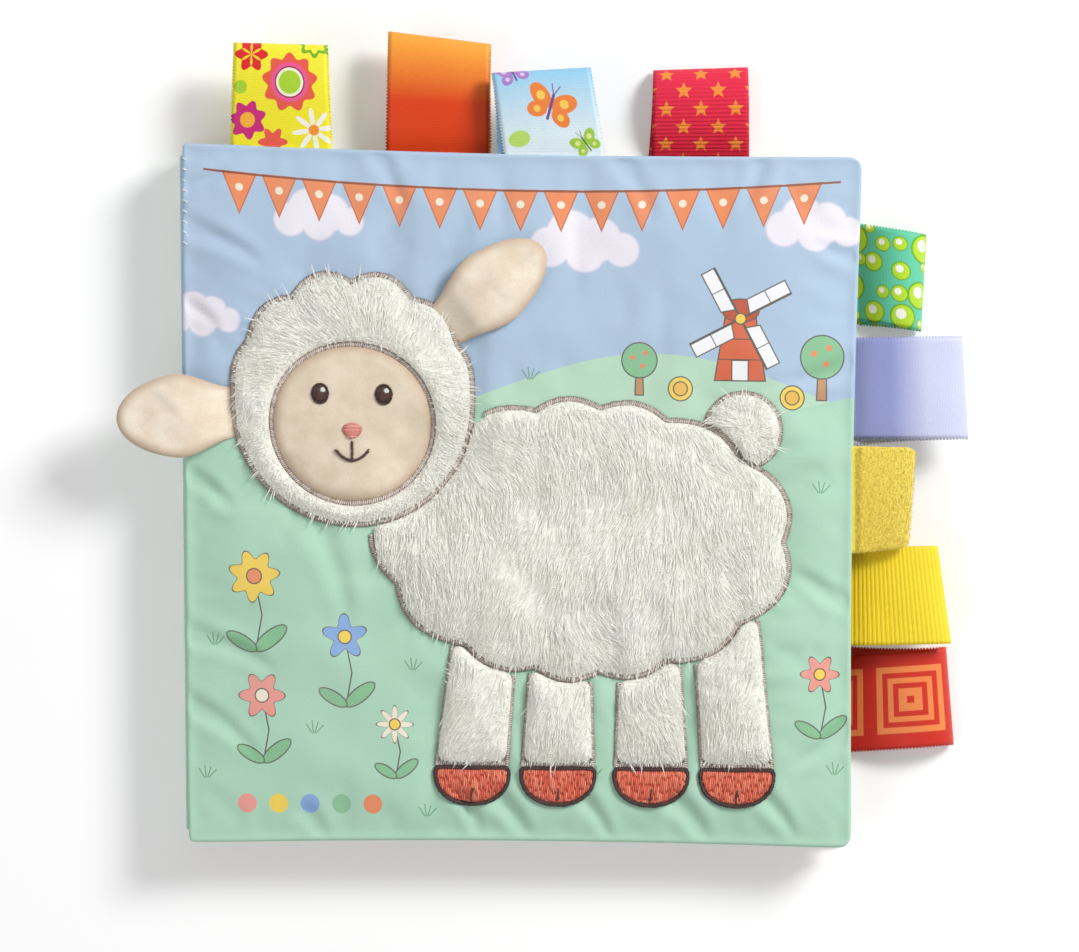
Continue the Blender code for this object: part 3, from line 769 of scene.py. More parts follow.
def rgb(red, green, blue):
    """The linear colour that shows as those values from 0 to 255."""
    return tuple(((value / 255 + 0.055) / 1.055) ** 2.4 for value in (red, green, blue))


def fleece_paint():
    paint = Paint("white_fleece", roughness=0.95, sheen=0.65, specular=0.15)
    tint, flat = paint.attribute("tint", out=2), paint.attribute("flat")
    patch = paint.noise(flat, 0.09, 3)
    light = paint.mix(paint.ramp(patch, 0.35, 0.65), rgb(252, 250, 241), rgb(255, 254, 248))
    shade = paint.mix(patch, rgb(234, 232, 220), rgb(242, 240, 228))
    # shade is painted shade, for the fibres' roots and the pad under them, where the tint is low;
    # light is painted light on their tips
    paint.colour(paint.mix(paint.ramp(tint, 0.05, 0.75), shade, light))
    paint.bump(paint.noise(flat, 3.5, 3, 0.7), 0.25, 0.6)
    return paint


def thread_paint(name, dark, middle, light):
    """Shiny embroidery thread: low tint is painted shade, where stitches dive into the cloth; high
    tint a painted highlight.
    """
    paint = Paint(name, roughness=0.5, specular=0.4, sheen=0.1)
    dark, middle, light = rgb(*dark), rgb(*middle), rgb(*light)
    tint, flat = paint.attribute("tint", out=2), paint.attribute("flat")
    low = paint.mix(paint.ramp(tint, 0.0, 0.45), dark, middle)
    colour = paint.mix(paint.ramp(tint, 0.5, 1.0), low, light)
    mottle = paint.noise(flat, 0.8, 2)
    paint.colour(paint.mix(paint.ramp(mottle, 0.3, 0.75, 0.0, 0.25), colour, dark))
    paint.bump(paint.noise(flat, 6, 2), 0.05, 0.5)
    return paint


def velour_paint(name, dark, light):
    """Short velour with a mottled nap, with painted shade towards its seam, where the tint is 0.
    """
    paint = Paint(name, roughness=0.9, sheen=0.35, specular=0.15)
    tint, flat = paint.attribute("tint", out=2), paint.attribute("flat")
    nap = paint.noise(flat, 0.16, 4, 0.6)
    base = paint.mix(paint.ramp(nap, 0.35, 0.65), dark, light)
    grain = paint.noise(flat, 2.6, 2, 0.6)
    base = paint.mix(paint.ramp(grain, 0.35, 0.7, 0.0, 0.22), base, rgb(214, 190, 164))
    paint.colour(paint.mix(paint.ramp(tint, 0, 1, 0.75, 0.0), base, rgb(190, 160, 134)))
    paint.bump(paint.noise(flat, 3.2, 3, 0.7), 0.12, 0.7)
    return paint


FLEECE_PAINT = fleece_paint()
VELOUR_PAINT = velour_paint("beige_velour", rgb(236, 218, 195), rgb(249, 238, 219))
# The face's velour is the ears' velour made darker, as painted shade on the face, which lies sunk
# among the fleece
FACE_PAINT = velour_paint("face_velour_painted_shade", rgb(222, 205, 181), rgb(238, 224, 203))
TAUPE_THREAD = thread_paint("taupe_thread", (104, 82, 76), (176, 160, 150), (232, 222, 212))
CORAL_THREAD = thread_paint("coral_thread", (160, 56, 40), (218, 92, 68), (246, 154, 124))
BROWN_THREAD = thread_paint("brown_thread", (34, 20, 18), (66, 40, 34), (96, 64, 54))
DARK_THREAD = thread_paint("dark_thread", (24, 16, 16), (52, 34, 32), (88, 62, 56))
PINK_THREAD = thread_paint("pink_thread", (176, 96, 88), (226, 148, 138), (244, 186, 174))
WHITE_THREAD = thread_paint("white_thread", (190, 188, 182), (232, 230, 226), (250, 250, 248))


# Sheep

# How far fleece and velour reach under the stitch lines
UNDER_STITCH = 0.45
# Rings of a pad's and of a ring-shaped pad's top, and the pad's ring that its underside has too
PAD_SHARES = (1, 0.992, 0.975, 0.95, 0.92, 0.88, 0.83, 0.77, 0.7, 0.6, 0.5, 0.38, 0.26, 0.13)
COLLAR_SHARES = (1, 0.98, 0.94, 0.88, 0.8, 0.68, 0.55, 0.42, 0.3, 0.2, 0.12, 0.06, 0.02, 0)
UNDER_RING = 7
# Thickness of the fleece pads, width of their stitch lines, and fibres to a square millimetre
FLEECE_RISE = 2.3
LINE_WIDTH = 1.35
LAID_FIBRES, RUFFLED_FIBRES, STRAY_FIBRES, BACKING_FIBRES = 3.8, 4.5, 0.035, 2.0
# Breadth of a clump of fibres, and the share of its length that a fibre can hang down
CLUMP, DROOP = 2.1, 0.5
# Sides of a single stitch, and as many steps along it
STITCH_SIDES = 6


def polar(places, centre):
    """An outline's angles seen from a centre, in order, and its distances from there."""
    dx, dy = (places - centre).T
    angles = np.arctan2(dy, dx)
    order = np.argsort(angles)
    return angles[order], np.hypot(dx, dy)[order]


class Pad:
    """A stuffed patch on the cover, given by an outline that its middle sees all of."""

    def __init__(self, places, centre, thickness, shoulder, lumps=0.0, seed=1, base=cover_level):
        self.places, self.centre = places, centre
        self.thickness, self.shoulder = thickness, shoulder
        self.lumps, self.seed, self.base = lumps, seed, base
        self.reaches = polar(places, centre)

    def depth_in(self, x, y):
        """How far inside the outline a place lies, along the line from the middle."""
        dx, dy = x - self.centre[0], y - self.centre[1]
        reach = np.interp(np.arctan2(dy, dx), *self.reaches, period=2 * np.pi)
        return reach - np.hypot(dx, dy)

    def top(self, x, y):
        depth = np.clip(self.depth_in(x, y), 0, None)
        round_over = np.sqrt(1 - (1 - np.clip(depth / self.shoulder, 0, 1)) ** 2)
        rise = self.thickness * (0.82 * round_over + 0.18 * smooth(depth / 12))
        rise += self.lumps * smooth(depth / 3) * noise(x, y, 6, self.seed, 2)
        return self.base(x, y) + 0.05 + rise

    def mesh(self):
        """Points and faces of the closed pad."""
        count = len(self.places)
        rings = [self.centre + (self.places - self.centre) * share for share in PAD_SHARES]
        plan = np.vstack([*rings, [self.centre]])
        top = np.column_stack([plan, self.top(*plan.T)])
        low_plan = np.vstack([rings[0], rings[UNDER_RING], [self.centre]])
        low = np.column_stack([low_plan, self.base(*low_plan.T) + 0.02])
        faces = grid_faces(count, len(rings), wrap=True).tolist()
        hub, last = len(top) - 1, (len(rings) - 1) * count
        under = len(top)
        for k in range(count):
            after = (k + 1) % count
            faces.append((last + k, last + after, hub))
            faces.append((k, under + k, under + after, after))
            faces.append((under + k, under + count + k, under + count + after, under + after))
            faces.append((under + count + after, under + count + k, under + 2 * count))
        return np.vstack([top, low]), faces

    def scatter(self, density, seed, margin):
        """Random places that far inside the outline, that many to a square millimetre."""
        low, high = self.places.min(0), self.places.max(0)
        draw = np.random.default_rng(seed)
        count = int(np.prod(high - low) * density)
        found = draw.uniform(low, high, (count, 2))
        return found[self.depth_in(*found.T) > margin]


def joined(parts):
    """Points, faces, tints and paint numbers of several meshes in one.

    Each part is its points, its faces, its tint and, where it isn't 0, its paint number.
    """
    points, faces, tints, slots, start = [], [], [], [], 0
    for part_points, part_faces, tint, *slot in parts:
        points.append(part_points)
        faces += [tuple(start + k for k in face) for face in part_faces]
        tints.append(np.broadcast_to(tint, len(part_points)))
        slots.append(np.full(len(part_faces), slot[0] if slot else 0))
        start += len(part_points)
    return np.vstack(points), faces, np.concatenate(tints), np.concatenate(slots)


def put_on_cover(name, parts, paints, bend=None, rounded_off=True):
    """One piece from parts in plan places, fitted to the book's true plan.

    Without a bend it rides on the front cover. With a bend, given as a body and two places, it
    rides on no body; the bend's body and places are not used.
    """
    points, faces, tints, slots = joined(parts)
    piece = add_mesh(name, placed(*points.T), faces, paints, flat=points[:, :2], tint=tints,
                     slots=slots, smooth_faces=rounded_off)
    if bend:
        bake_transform(piece)
    else:
        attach(piece, "front_cover")
    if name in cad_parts:
        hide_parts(name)
    return piece


def strands(roots, way, length, width, top, seed, lift=0.55, gather=0.4, depth_in=None):
    """Thin tapered fibres that lie over a surface, their tips drawn together in clumps.

    way gives the combed direction at a place. Most end at the outline that depth_in measures.
    Gives points, faces and a tint per point: low at the roots as painted shade, high at the tips
    as painted light.
    """
    draw = np.random.default_rng(seed)
    count = len(roots)
    x, y = roots.T
    angle = way(x, y) + draw.normal(0, 0.22, count)
    long = length * draw.uniform(0.65, 1.3, count)
    cell = np.floor(roots / CLUMP)
    middles = np.random.default_rng(seed + 1).uniform(0.15, 0.85, (97, 89, 2))
    inner = middles[cell[:, 0].astype(int) % 97, cell[:, 1].astype(int) % 89]
    focus = (cell + inner) * CLUMP
    focus_angle = way(*focus.T)
    target = focus + length * np.column_stack([np.cos(focus_angle), np.sin(focus_angle)])
    tip = roots + long[:, None] * np.column_stack([np.cos(angle), np.sin(angle)])
    tip = tip + gather * (target - tip)
    run = tip - roots
    if depth_in:
        near, far = depth_in(*roots.T), depth_in(*tip.T)
        room = np.clip(near / np.maximum(near - far, 0.01), 0.3, 1)
        kept_in = (far < 0) & (draw.uniform(0, 1, count) < 0.93)
        run = run * np.where(kept_in, room, 1)[:, None]
    side = np.column_stack([-run[:, 1], run[:, 0]])
    side /= np.maximum(np.hypot(*side.T), 1e-6)[:, None]
    rise = lift * draw.uniform(0.5, 1.4, count)
    width = width * draw.uniform(0.7, 1.3, count)
    root_level = top(x, y)
    rings = []
    for share, taper in ((0, 1), (0.45, 0.85), (1, 0)):
        place = roots + run * share
        over = np.maximum(top(*place.T), root_level - DROOP * share * length)
        level = over + rise * (share ** 0.7) - 0.25 * (1 - share)
        half = side * (width * taper / 2)[:, None]
        if taper:
            rings.append(np.column_stack([place - half, level]))
            rings.append(np.column_stack([place + half, level]))
            rings.append(np.column_stack([place, level + width * 0.3]))
        else:
            rings.append(np.column_stack([place, level]))
    points = np.stack(rings, 1).reshape(-1, 3)
    pattern = [(0, 1, 4, 3), (1, 2, 5, 4), (2, 0, 3, 5), (3, 4, 6), (4, 5, 6), (5, 3, 6),
               (0, 2, 1)]
    faces = repeated(pattern, count, len(rings))
    # The tint is painted shade at each fibre's root and sides and painted light on its ridge and
    # tip, shifted at random for each fibre
    shade = draw.uniform(-0.18, 0.18, count)[:, None]
    tint = np.clip(np.array([0.35, 0.35, 0.45, 0.75, 0.75, 0.8, 1.0]) + shade, 0, 1).ravel()
    return points, faces, tint


def satin(path, width, base, seed, closed=False, pitch=0.46, rise=0.45, slant=20):
    """A ridge of small threads sewn across a line. Tint is 1 on its crest, a painted highlight,
    and 0 at one side, painted shade.
    """
    path = np.asarray(path, float)
    loop = np.vstack([path, path[:1]]) if closed else path
    count = max(4, int(length_of(loop) / pitch))
    middle = spaced(path, count, closed)
    if closed:
        ahead = np.roll(middle, -1, 0) - np.roll(middle, 1, 0)
    else:
        ahead = np.gradient(middle, axis=0)
    ahead /= np.maximum(np.hypot(*ahead.T), 1e-6)[:, None]
    draw = np.random.default_rng(seed)
    turn = np.radians(90 - slant + draw.normal(0, 5, count))
    cos, sin = np.cos(turn), np.sin(turn)
    across = np.column_stack([ahead[:, 0] * cos - ahead[:, 1] * sin,
                              ahead[:, 0] * sin + ahead[:, 1] * cos])
    wide = width / math.cos(math.radians(slant)) * draw.uniform(0.92, 1.08, count) / 2
    middle = middle + across * draw.normal(0, 0.035, (count, 1))
    flank = np.column_stack([-across[:, 1], across[:, 0]])
    thick = pitch * 0.44
    rings = []
    for share in (-1, -0.72, 0, 0.72, 1):
        place = middle + across * (wide * share)[:, None]
        level = base(*place.T) + 0.08 + rise * math.sqrt(1 - 0.92 * share * share)
        body = 0.55 if abs(share) == 1 else 1
        half = flank * thick * body
        rings.append(np.column_stack([place - half, level]))
        rings.append(np.column_stack([place, level + thick * 0.5 * body]))
        rings.append(np.column_stack([place + half, level]))
        rings.append(np.column_stack([place, level - thick * 0.5 * body]))
    points = np.stack(rings, 1).reshape(-1, 3)
    pattern = []
    for ring in range(4):
        for side in range(4):
            a, b = ring * 4 + side, ring * 4 + (side + 1) % 4
            pattern.append((a, a + 4, b + 4, b))
    pattern += [(0, 1, 2, 3), (19, 18, 17, 16)]
    faces = repeated(pattern, count, len(rings))
    # Tints across each stitch: painted shade at one edge and a painted highlight on the crest,
    # with random shifts
    tint = np.repeat([0.0, 0.55, 1.0, 0.7, 0.35], 4)[None, :] + draw.normal(0, 0.13, (count, 1))
    # A dark closed bed under the threads, painted shade between them with tint 0
    bed_rings = []
    for share, up in ((-0.9, 0.02), (0, 0.72 * rise), (0.9, 0.02), (0, -0.15)):
        place = middle + across * (wide.mean() * share)
        bed_rings.append(np.column_stack([place, base(*place.T) + 0.06 + up]))
    bed = np.stack(bed_rings, 1).reshape(-1, 3)
    first, last = len(points), len(points) + 4 * (count - 1)
    faces += grid_faces(4, count, start=first, flip=True, wrap=True).tolist()
    if closed:
        faces += [(last + k, first + k, first + (k + 1) % 4, last + (k + 1) % 4)
                  for k in range(4)]
    else:
        faces += [tuple(range(first, first + 4)), tuple(range(last + 3, last - 1, -1))]
    tint = np.concatenate([np.clip(tint, 0, 1).ravel(), np.full(len(bed), 0.0)])
    return np.vstack([points, bed]), faces, tint


def stitch(path, base, radius, lift):
    """Points and faces of one stitch of round thread along a path, its ends sunk in."""
    path = np.asarray(path, float)
    run = length_of(path)
    dense = spaced(path, max(8, int(run / 0.1)), False)
    step = run / (len(dense) - 1)
    middle = spaced(dense[:int(run / step) + 1], STITCH_SIDES, False)
    ahead = np.gradient(middle, axis=0)
    ahead /= np.hypot(*ahead.T)[:, None]
    side = np.column_stack([-ahead[:, 1], ahead[:, 0]])
    share = np.linspace(-1, 1, STITCH_SIDES)
    level = base(*middle.T) + lift * (1 - share ** 4) + radius * 0.2
    body = radius * np.sqrt(1.06 - share ** 6)
    rows = []
    for angle in np.linspace(0, 2 * np.pi, STITCH_SIDES, endpoint=False):
        offset = side * (np.cos(angle) * body)[:, None]
        rows.append(np.column_stack([middle + offset, level + np.sin(angle) * body]))
    faces = []
    for k in range(STITCH_SIDES):
        a, b = k * STITCH_SIDES, (k + 1) % STITCH_SIDES * STITCH_SIDES
        faces += [(a + n, b + n, b + n + 1, a + n + 1) for n in range(STITCH_SIDES - 1)]
    starts = [k * STITCH_SIDES for k in range(STITCH_SIDES)]
    faces.append(tuple(starts[::-1]))
    faces.append(tuple(start + STITCH_SIDES - 1 for start in starts))
    return np.vstack(rows), faces


def comb_down(seed):
    """A combed direction: down the cloth, with soft swirls."""
    def way(x, y):
        swirl = 0.9 * noise(x, y, 13, seed) + 0.45 * noise(x, y, 4.5, seed + 9)
        return -np.pi / 2 + swirl
    return way


def comb_out(centre, seed):
    """A combed direction away from a centre, with soft swirls."""
    def way(x, y):
        out = np.arctan2(y - centre[1], x - centre[0])
        return out + 0.8 * noise(x, y, 11, seed) + 0.4 * noise(x, y, 4, seed + 9)
    return way


def any_way(seed):
    """Directions that differ from place to place."""
    def way(x, y):
        return 20 * noise(x, y, 0.9, seed)
    return way


def fleece(name, pad, way, seed):
    """A fleece patch with its laid fibres, and a piece of the ruffled and stray ones."""
    def top(x, y):
        return np.maximum(pad.top(x, y), cover_level(x, y) + 0.9)

    roots = pad.scatter(LAID_FIBRES, seed, margin=0.2)
    laid_fibres = strands(roots, way, length=3.4, width=0.24, top=top, seed=seed,
                          depth_in=pad.depth_in)
    ruffled = pad.scatter(RUFFLED_FIBRES, seed + 300, margin=0.1)
    near_rim = pad.depth_in(*ruffled.T) < 2.2
    chance = np.random.default_rng(seed + 5).uniform(0, 1, len(ruffled))
    ruffled = ruffled[near_rim | (chance < 0.22)]
    strays = pad.scatter(STRAY_FIBRES, seed + 400, margin=2.5)
    tufts = [
        strands(ruffled, any_way(seed), length=1.6, width=0.22, top=top, seed=seed + 1,
                gather=0.1, depth_in=pad.depth_in),
        strands(strays, any_way(seed + 2), length=4.0, width=0.12, top=top, seed=seed + 2,
                lift=1.5, gather=0),
    ]
    # The pad under the fibres gets a low tint, as painted shade
    piece = put_on_cover(name, [(*pad.mesh(), 0.35), laid_fibres], FLEECE_PAINT,
                         rounded_off=False)
    put_on_cover(f"{name}_tufts", tufts, FLEECE_PAINT, rounded_off=False)


def stitch_line(name, *lines):
    """A piece of taupe satin stitch."""
    put_on_cover(name, lines, TAUPE_THREAD)


class Collar(Pad):
    """A stuffed ring between two outlines round one centre."""

    def __init__(self, inner, outer, centre, thickness, shoulder, lumps, seed):
        super().__init__(outer, centre, thickness, shoulder, lumps, seed)
        self.hole = inner
        self.hole_reaches = polar(inner, centre)

    def depth_in(self, x, y):
        dx, dy = x - self.centre[0], y - self.centre[1]
        hole = np.interp(np.arctan2(dy, dx), *self.hole_reaches, period=2 * np.pi)
        return np.minimum(super().depth_in(x, y), np.hypot(dx, dy) - hole)

    def mesh(self):
        count = len(self.places)
        across = self.places - self.hole
        plan = np.vstack([self.hole + across * share for share in COLLAR_SHARES])
        top = np.column_stack([plan, self.top(*plan.T)])
        low = np.vstack([self.hole, self.places])
        low = np.column_stack([low, self.base(*low.T) + 0.02])
        rings = len(COLLAR_SHARES) + 2
        faces = grid_faces(count, rings, wrap=True).tolist()
        last = (rings - 1) * count
        faces += [(last + k, last + (k + 1) % count, (k + 1) % count, k) for k in range(count)]
        return np.vstack([top, low]), faces


class Ear(Pad):
    """A pad that thins towards its root, which out_share measures from."""

    def __init__(self, places, centre, thickness, shoulder, out_share, **rest):
        super().__init__(places, centre, thickness, shoulder, **rest)
        self.out_share = out_share

    def top(self, x, y):
        base = self.base(x, y)
        return base + (super().top(x, y) - base) * (0.12 + 0.88 * smooth(self.out_share(x, y) * 4))


def grown(places, by):
    """A closed outline moved outwards."""
    ahead = np.roll(places, -2, 0) - np.roll(places, 2, 0)
    out = np.column_stack([ahead[:, 1], -ahead[:, 0]]) / np.hypot(*ahead.T)[:, None]
    inward = ((places - places.mean(0)) * out).sum() < 0
    return places + (-by if inward else by) * out


def make_body():
    places = outline(BODY, body_reach, 300, in_head, UNDER_STITCH)
    pad = Pad(places, BODY, FLEECE_RISE, shoulder=3.6, lumps=0.35, seed=31)
    fleece("body_fleece", pad, comb_down(11), seed=21)
    head_way = math.atan2(HEAD[1] - BODY[1], HEAD[0] - BODY[0])
    line = outline(BODY, body_reach, 600, grow=CHANNEL / 2, start=head_way)
    clear = line[beyond(HEAD, head_reach, *line.T) > 2 * CHANNEL]
    stitch_line("body_stitch_line", satin(clear, LINE_WIDTH, cover_level, seed=3))


def make_head():
    outer = outline(HEAD, head_reach, 240, grow=UNDER_STITCH)
    inner = outline(HEAD, face_reach, 240, grow=CHANNEL - UNDER_STITCH)
    pad = Collar(inner, outer, HEAD, FLEECE_RISE, shoulder=2.8, lumps=0.3, seed=41)
    fleece("head_fleece", pad, comb_out((HEAD[0], HEAD[1] + 4), 43), seed=44)
    for name, reach, seed in (("head_stitch_line", head_reach, 5),
                              ("face_stitch_line", face_reach, 6)):
        line = outline(HEAD, reach, 500, grow=CHANNEL / 2)
        stitch_line(name, satin(line, LINE_WIDTH, cover_level, closed=True, seed=seed))


def make_legs():
    for number, (middle, foot) in enumerate(leg_middles(), 1):
        name = f"leg_{number}"
        places = grown(leg_outline(middle, foot), UNDER_STITCH)
        top = float(leg_top(np.array([middle]))[0])
        centre = np.array([(middle + foot) / 2, (top + LEG_FOOT) / 2])
        pad = Pad(places, centre, FLEECE_RISE, shoulder=2.8, lumps=0.25, seed=50 + number)
        fleece(f"{name}_fleece", pad, comb_down(60 + number), seed=70 + number)
        ankle = [(foot + side * FOOT_HALF, LEG_FOOT - CHANNEL / 2) for side in (-1, 1)]
        lines = [satin(ankle, width=1.5, base=cover_level, seed=80 + number)]
        for side in (-1, 1):
            x = middle + side * (LEG_WIDTH / 2 + 0.5)
            rim = float(leg_top(np.array([x]))[0])
            edge = [(x, rim - 0.4), (foot + side * (FOOT_HALF + 0.55), LEG_FOOT - 1.2)]
            lines.append(satin(edge, width=1.1, base=cover_level, seed=90 + number))
        stitch_line(f"{name}_stitch_line", *lines)
        make_hoof(f"{name}_hoof", foot, 100 + number)


def make_hoof(name, foot, seed):
    """Coral satin stitch in upright rows, inside a dark line."""
    places = hoof_outline(foot)
    sole = np.array([foot, LEG_FOOT - CHANNEL - HOOF_HEIGHT / 3])
    pad = Pad(places, sole, thickness=0.6, shoulder=1.2)
    # The bed under the coral threads gets a lower tint than they have, as painted shade between
    # them
    parts = [(*pad.mesh(), 0.4)]
    low, high = places.min(0), places.max(0)
    draw = np.random.default_rng(seed)
    for x in np.arange(low[0] + 0.5, high[0] - 0.3, 0.43):
        level = np.linspace(high[1], low[1], 60)
        lean = x + (level - high[1]) * 0.12
        inside = pad.depth_in(lean, level) > 0.35
        if inside.sum() < 5:
            continue
        row = np.column_stack([lean, level])[inside]
        offset = draw.uniform(0, 2.5)
        start = 0.0
        length = np.hypot(*(row[-1] - row[0]))
        while start < length - 0.4:
            end = min(length, start + (offset if start == 0 and offset > 0.8 else 3.2))
            if end - start > 0.4:
                path = [row[0] + (row[-1] - row[0]) * share / length
                        for share in (start + 0.04, end - 0.04)]
                thread = stitch(path, pad.top, radius=0.21, lift=0.14)
                parts.append((*thread, float(draw.uniform(0.5, 0.95))))
            start = end
    rim = satin(places, width=1.0, base=cover_level, closed=True, rise=0.75, slant=35, seed=seed)
    cleft = [(foot - 0.2, low[1] + 0.9), (foot + 0.15, low[1] + 3.4)]
    cleft = satin(cleft, width=0.55, base=pad.top, pitch=0.3, rise=0.4, slant=40, seed=seed + 9)
    parts += [(*rim, 1), (*cleft, 1)]
    piece = put_on_cover(name, parts, [CORAL_THREAD, DARK_THREAD])


def make_tail():
    def reach(angles):
        return np.full(len(angles), TAIL_RADIUS)

    angle = math.radians(TAIL_ANGLE)
    distance = float(body_reach(np.array([angle]))[0]) + TAIL_STEM
    centre = np.array([BODY[0] + distance * math.cos(angle), BODY[1] + distance * math.sin(angle)])
    places = outline(centre, reach, 140, in_body, UNDER_STITCH)
    pad = Pad(places, centre, thickness=2.4, shoulder=3, lumps=0.2, seed=61)
    fleece("tail_fleece", pad, comb_out(centre, 63), seed=64)
    line = outline(centre, reach, 200, grow=0.75, start=angle)
    clear = line[beyond(BODY, body_reach, *line.T) > CHANNEL + 0.4]
    clear = np.roll(clear, len(clear) // 2, 0)
    stitch_line("tail_stitch_line", satin(clear, width=1.1, base=cover_level, seed=65))


def filled(places, centre, base, pitch, seed, slant, lift=0.25, radius=0.17, margin=0.1):
    """Threads laid side by side over an outline, each as one stitch."""
    pad = Pad(places, centre, thickness=0.3, shoulder=0.6, base=base)
    # The bed under the threads gets a low tint, as painted shade between them
    parts = [(*pad.mesh(), 0.25)]
    draw = np.random.default_rng(seed)
    turn = math.radians(slant)
    along = np.array([math.cos(turn), math.sin(turn)])
    side = np.array([-along[1], along[0]])
    reach = np.abs(places - centre).max() * 1.5
    for offset in np.arange(-reach, reach, pitch):
        line = centre + side * offset + along * np.linspace(-reach, reach, 160)[:, None]
        inside = line[pad.depth_in(*line.T) > margin]
        if len(inside) < 4:
            continue
        thread = stitch(inside[[0, -1]], pad.top, radius, lift)
        parts.append((*thread, float(draw.uniform(0.3, 0.9))))
    return parts


def make_face():
    places = outline(HEAD, face_reach, 200, grow=UNDER_STITCH)
    pad = Pad(places, np.array(HEAD), thickness=1.5, shoulder=3.2)
    points, faces = pad.mesh()
    # The tint is low near the face's seam, as painted shade there
    rim = np.clip(pad.depth_in(points[:, 0], points[:, 1]) / 2.2, 0, 1)
    piece = put_on_cover("face_velour", [(points, faces, rim)], FACE_PAINT)
    for name, side in (("left_eye", -1), ("right_eye", 1)):
        make_eye(name, np.array([HEAD[0] + side * 7, HEAD[1] + 2]), pad.top)
    make_nose(np.array([HEAD[0], HEAD[1] - 6]), pad.top)
    share = np.linspace(-1, 1, 24)
    smile = np.column_stack([HEAD[0] + 3.6 * share, HEAD[1] - 12.5 + 2.2 * share ** 2])
    lip = [(HEAD[0], HEAD[1] - 12.4), (HEAD[0], HEAD[1] - 8.4)]
    parts = [satin(smile, width=0.62, base=pad.top, pitch=0.3, rise=0.35, slant=50, seed=7),
             satin(lip, width=0.5, base=pad.top, pitch=0.3, rise=0.3, slant=50, seed=8)]
    put_on_cover("mouth", parts, BROWN_THREAD)


def make_eye(name, middle, base):
    def lifted(x, y):
        return base(x, y) + 0.38

    angle = np.linspace(0, 2 * np.pi, 48, False)
    places = middle + np.column_stack([1.75 * np.cos(angle), 2.1 * np.sin(angle)])
    parts = filled(places, middle, base, pitch=0.3, seed=9, slant=80)
    glint = middle + (0.55, 0.75)
    spot = glint + 0.42 * (places - middle) * (0.8, 0.75)
    glinting = filled(spot, glint, lifted, pitch=0.26, seed=10, slant=80, lift=0.1, radius=0.13,
                      margin=0.02)
    rim = satin(places, width=0.5, base=base, closed=True, pitch=0.26, rise=0.32, seed=11)
    parts += [*((*part, 1) for part in glinting), (*rim, 2)]
    put_on_cover(name, parts, [BROWN_THREAD, WHITE_THREAD, DARK_THREAD])


def make_nose(middle, base):
    angle = np.linspace(0, 2 * np.pi, 60, False)
    wide = 2.2 * (1 + 0.18 * np.sin(angle))
    places = middle + np.column_stack([wide * np.cos(angle), 1.7 * np.sin(angle)])
    parts = filled(places, middle, base, pitch=0.3, seed=12, slant=0)
    put_on_cover("nose", parts, PINK_THREAD)


def ear_outline(root, turn, length, width):
    """A leaf shape from its root outwards."""
    share = np.linspace(0, 1, 75)
    half = width / 2 * (0.56 + 0.44 * smooth(share * 1.9)) * (1 - share ** 3.2) ** 0.55
    out = share * length
    shape = np.vstack([np.column_stack([out, -half]),
                       np.column_stack([out, half])[::-1][1:]])
    cos, sin = math.cos(turn), math.sin(turn)
    turned = np.column_stack([shape[:, 0] * cos - shape[:, 1] * sin,
                              shape[:, 0] * sin + shape[:, 1] * cos])
    return rounded(spaced(root + turned, 150, True), 0.5)


def make_ear(side, direction, length, width, seed):
    """A loose ear of two layers, sewn under the head's edge at its root."""
    turn = math.radians(direction)
    way = np.array([math.cos(turn), math.sin(turn)])
    hinge = np.array(HEAD) + 27.0 * way
    root = hinge - 1.2 * way
    length += 2.8
    places = ear_outline(root, turn, length, width)
    middle = root + 0.5 * length * way

    def out_share(x, y):
        along = (x - root[0]) * math.cos(turn) + (y - root[1]) * math.sin(turn)
        return np.clip(along / length, 0, 1)

    def under(x, y):
        beside = np.where(np.abs(x) < HALF_WIDTH, cover_level(x, y), 13.9)
        return beside + 0.03 + (16.9 - beside) * smooth(out_share(x, y) * 2.1)

    def seam(x, y):
        return under(x, y) + 0.1 + 0.85 * smooth(out_share(x, y) * 4)

    back = Ear(places, middle, thickness=0.85, shoulder=1.6, out_share=out_share, base=under)
    front = Ear(places, middle, thickness=1.35, shoulder=2.8, out_share=out_share, lumps=0.5,
                seed=seed, base=seam)
    roots = back.scatter(BACKING_FIBRES, seed, margin=1.8)
    fibres, fibre_faces, tint = strands(roots, comb_out(root, seed), length=1.8, width=0.24,
                                        top=under, seed=seed, depth_in=back.depth_in)
    # The fibres are turned over, to hang from the ear's underside
    fibres[:, 2] = 2 * under(fibres[:, 0], fibres[:, 1]) - fibres[:, 2] + 0.1
    # The backing pad gets a middling tint, as painted shade under its fibres
    parts = [(*back.mesh(), 0.6), (fibres, [face[::-1] for face in fibre_faces], tint)]
    bend = (f"{side}_ear", *(np.array([*place, 19]) for place in (hinge, hinge + 4 * way)))
    backing = put_on_cover(f"{side}_ear_backing", parts, FLEECE_PAINT, bend,
                           rounded_off=False)
    points, faces = front.mesh()
    # The tint is low near the lining's seam, as painted shade there
    rim = np.clip(front.depth_in(points[:, 0], points[:, 1]) / 2.4, 0, 1)
    lining = put_on_cover(f"{side}_ear_lining", [(points, faces, rim)], VELOUR_PAINT,
                          bend)


make_body()
make_head()
make_legs()
make_tail()
make_face()
make_ear("left", direction=185, length=23.6, width=19.5, seed=121)
make_ear("right", direction=40, length=26, width=18, seed=122)


# Printed cloth

LINE, PRINTED_LINE = rgb(104, 96, 88), 0.28
SKY, MINT, FAR_HILL = rgb(178, 201, 224), rgb(177, 217, 192), rgb(190, 224, 198)
CREAM, ORANGE, BRICK = rgb(246, 236, 214), rgb(238, 146, 100), rgb(222, 112, 78)
YELLOW, PINK, BLUE = rgb(248, 214, 92), rgb(240, 160, 148), rgb(140, 176, 226)
LEAF_GREEN, DARK_GREEN, WHITE = rgb(142, 196, 152), rgb(104, 160, 118), rgb(248, 248, 250)


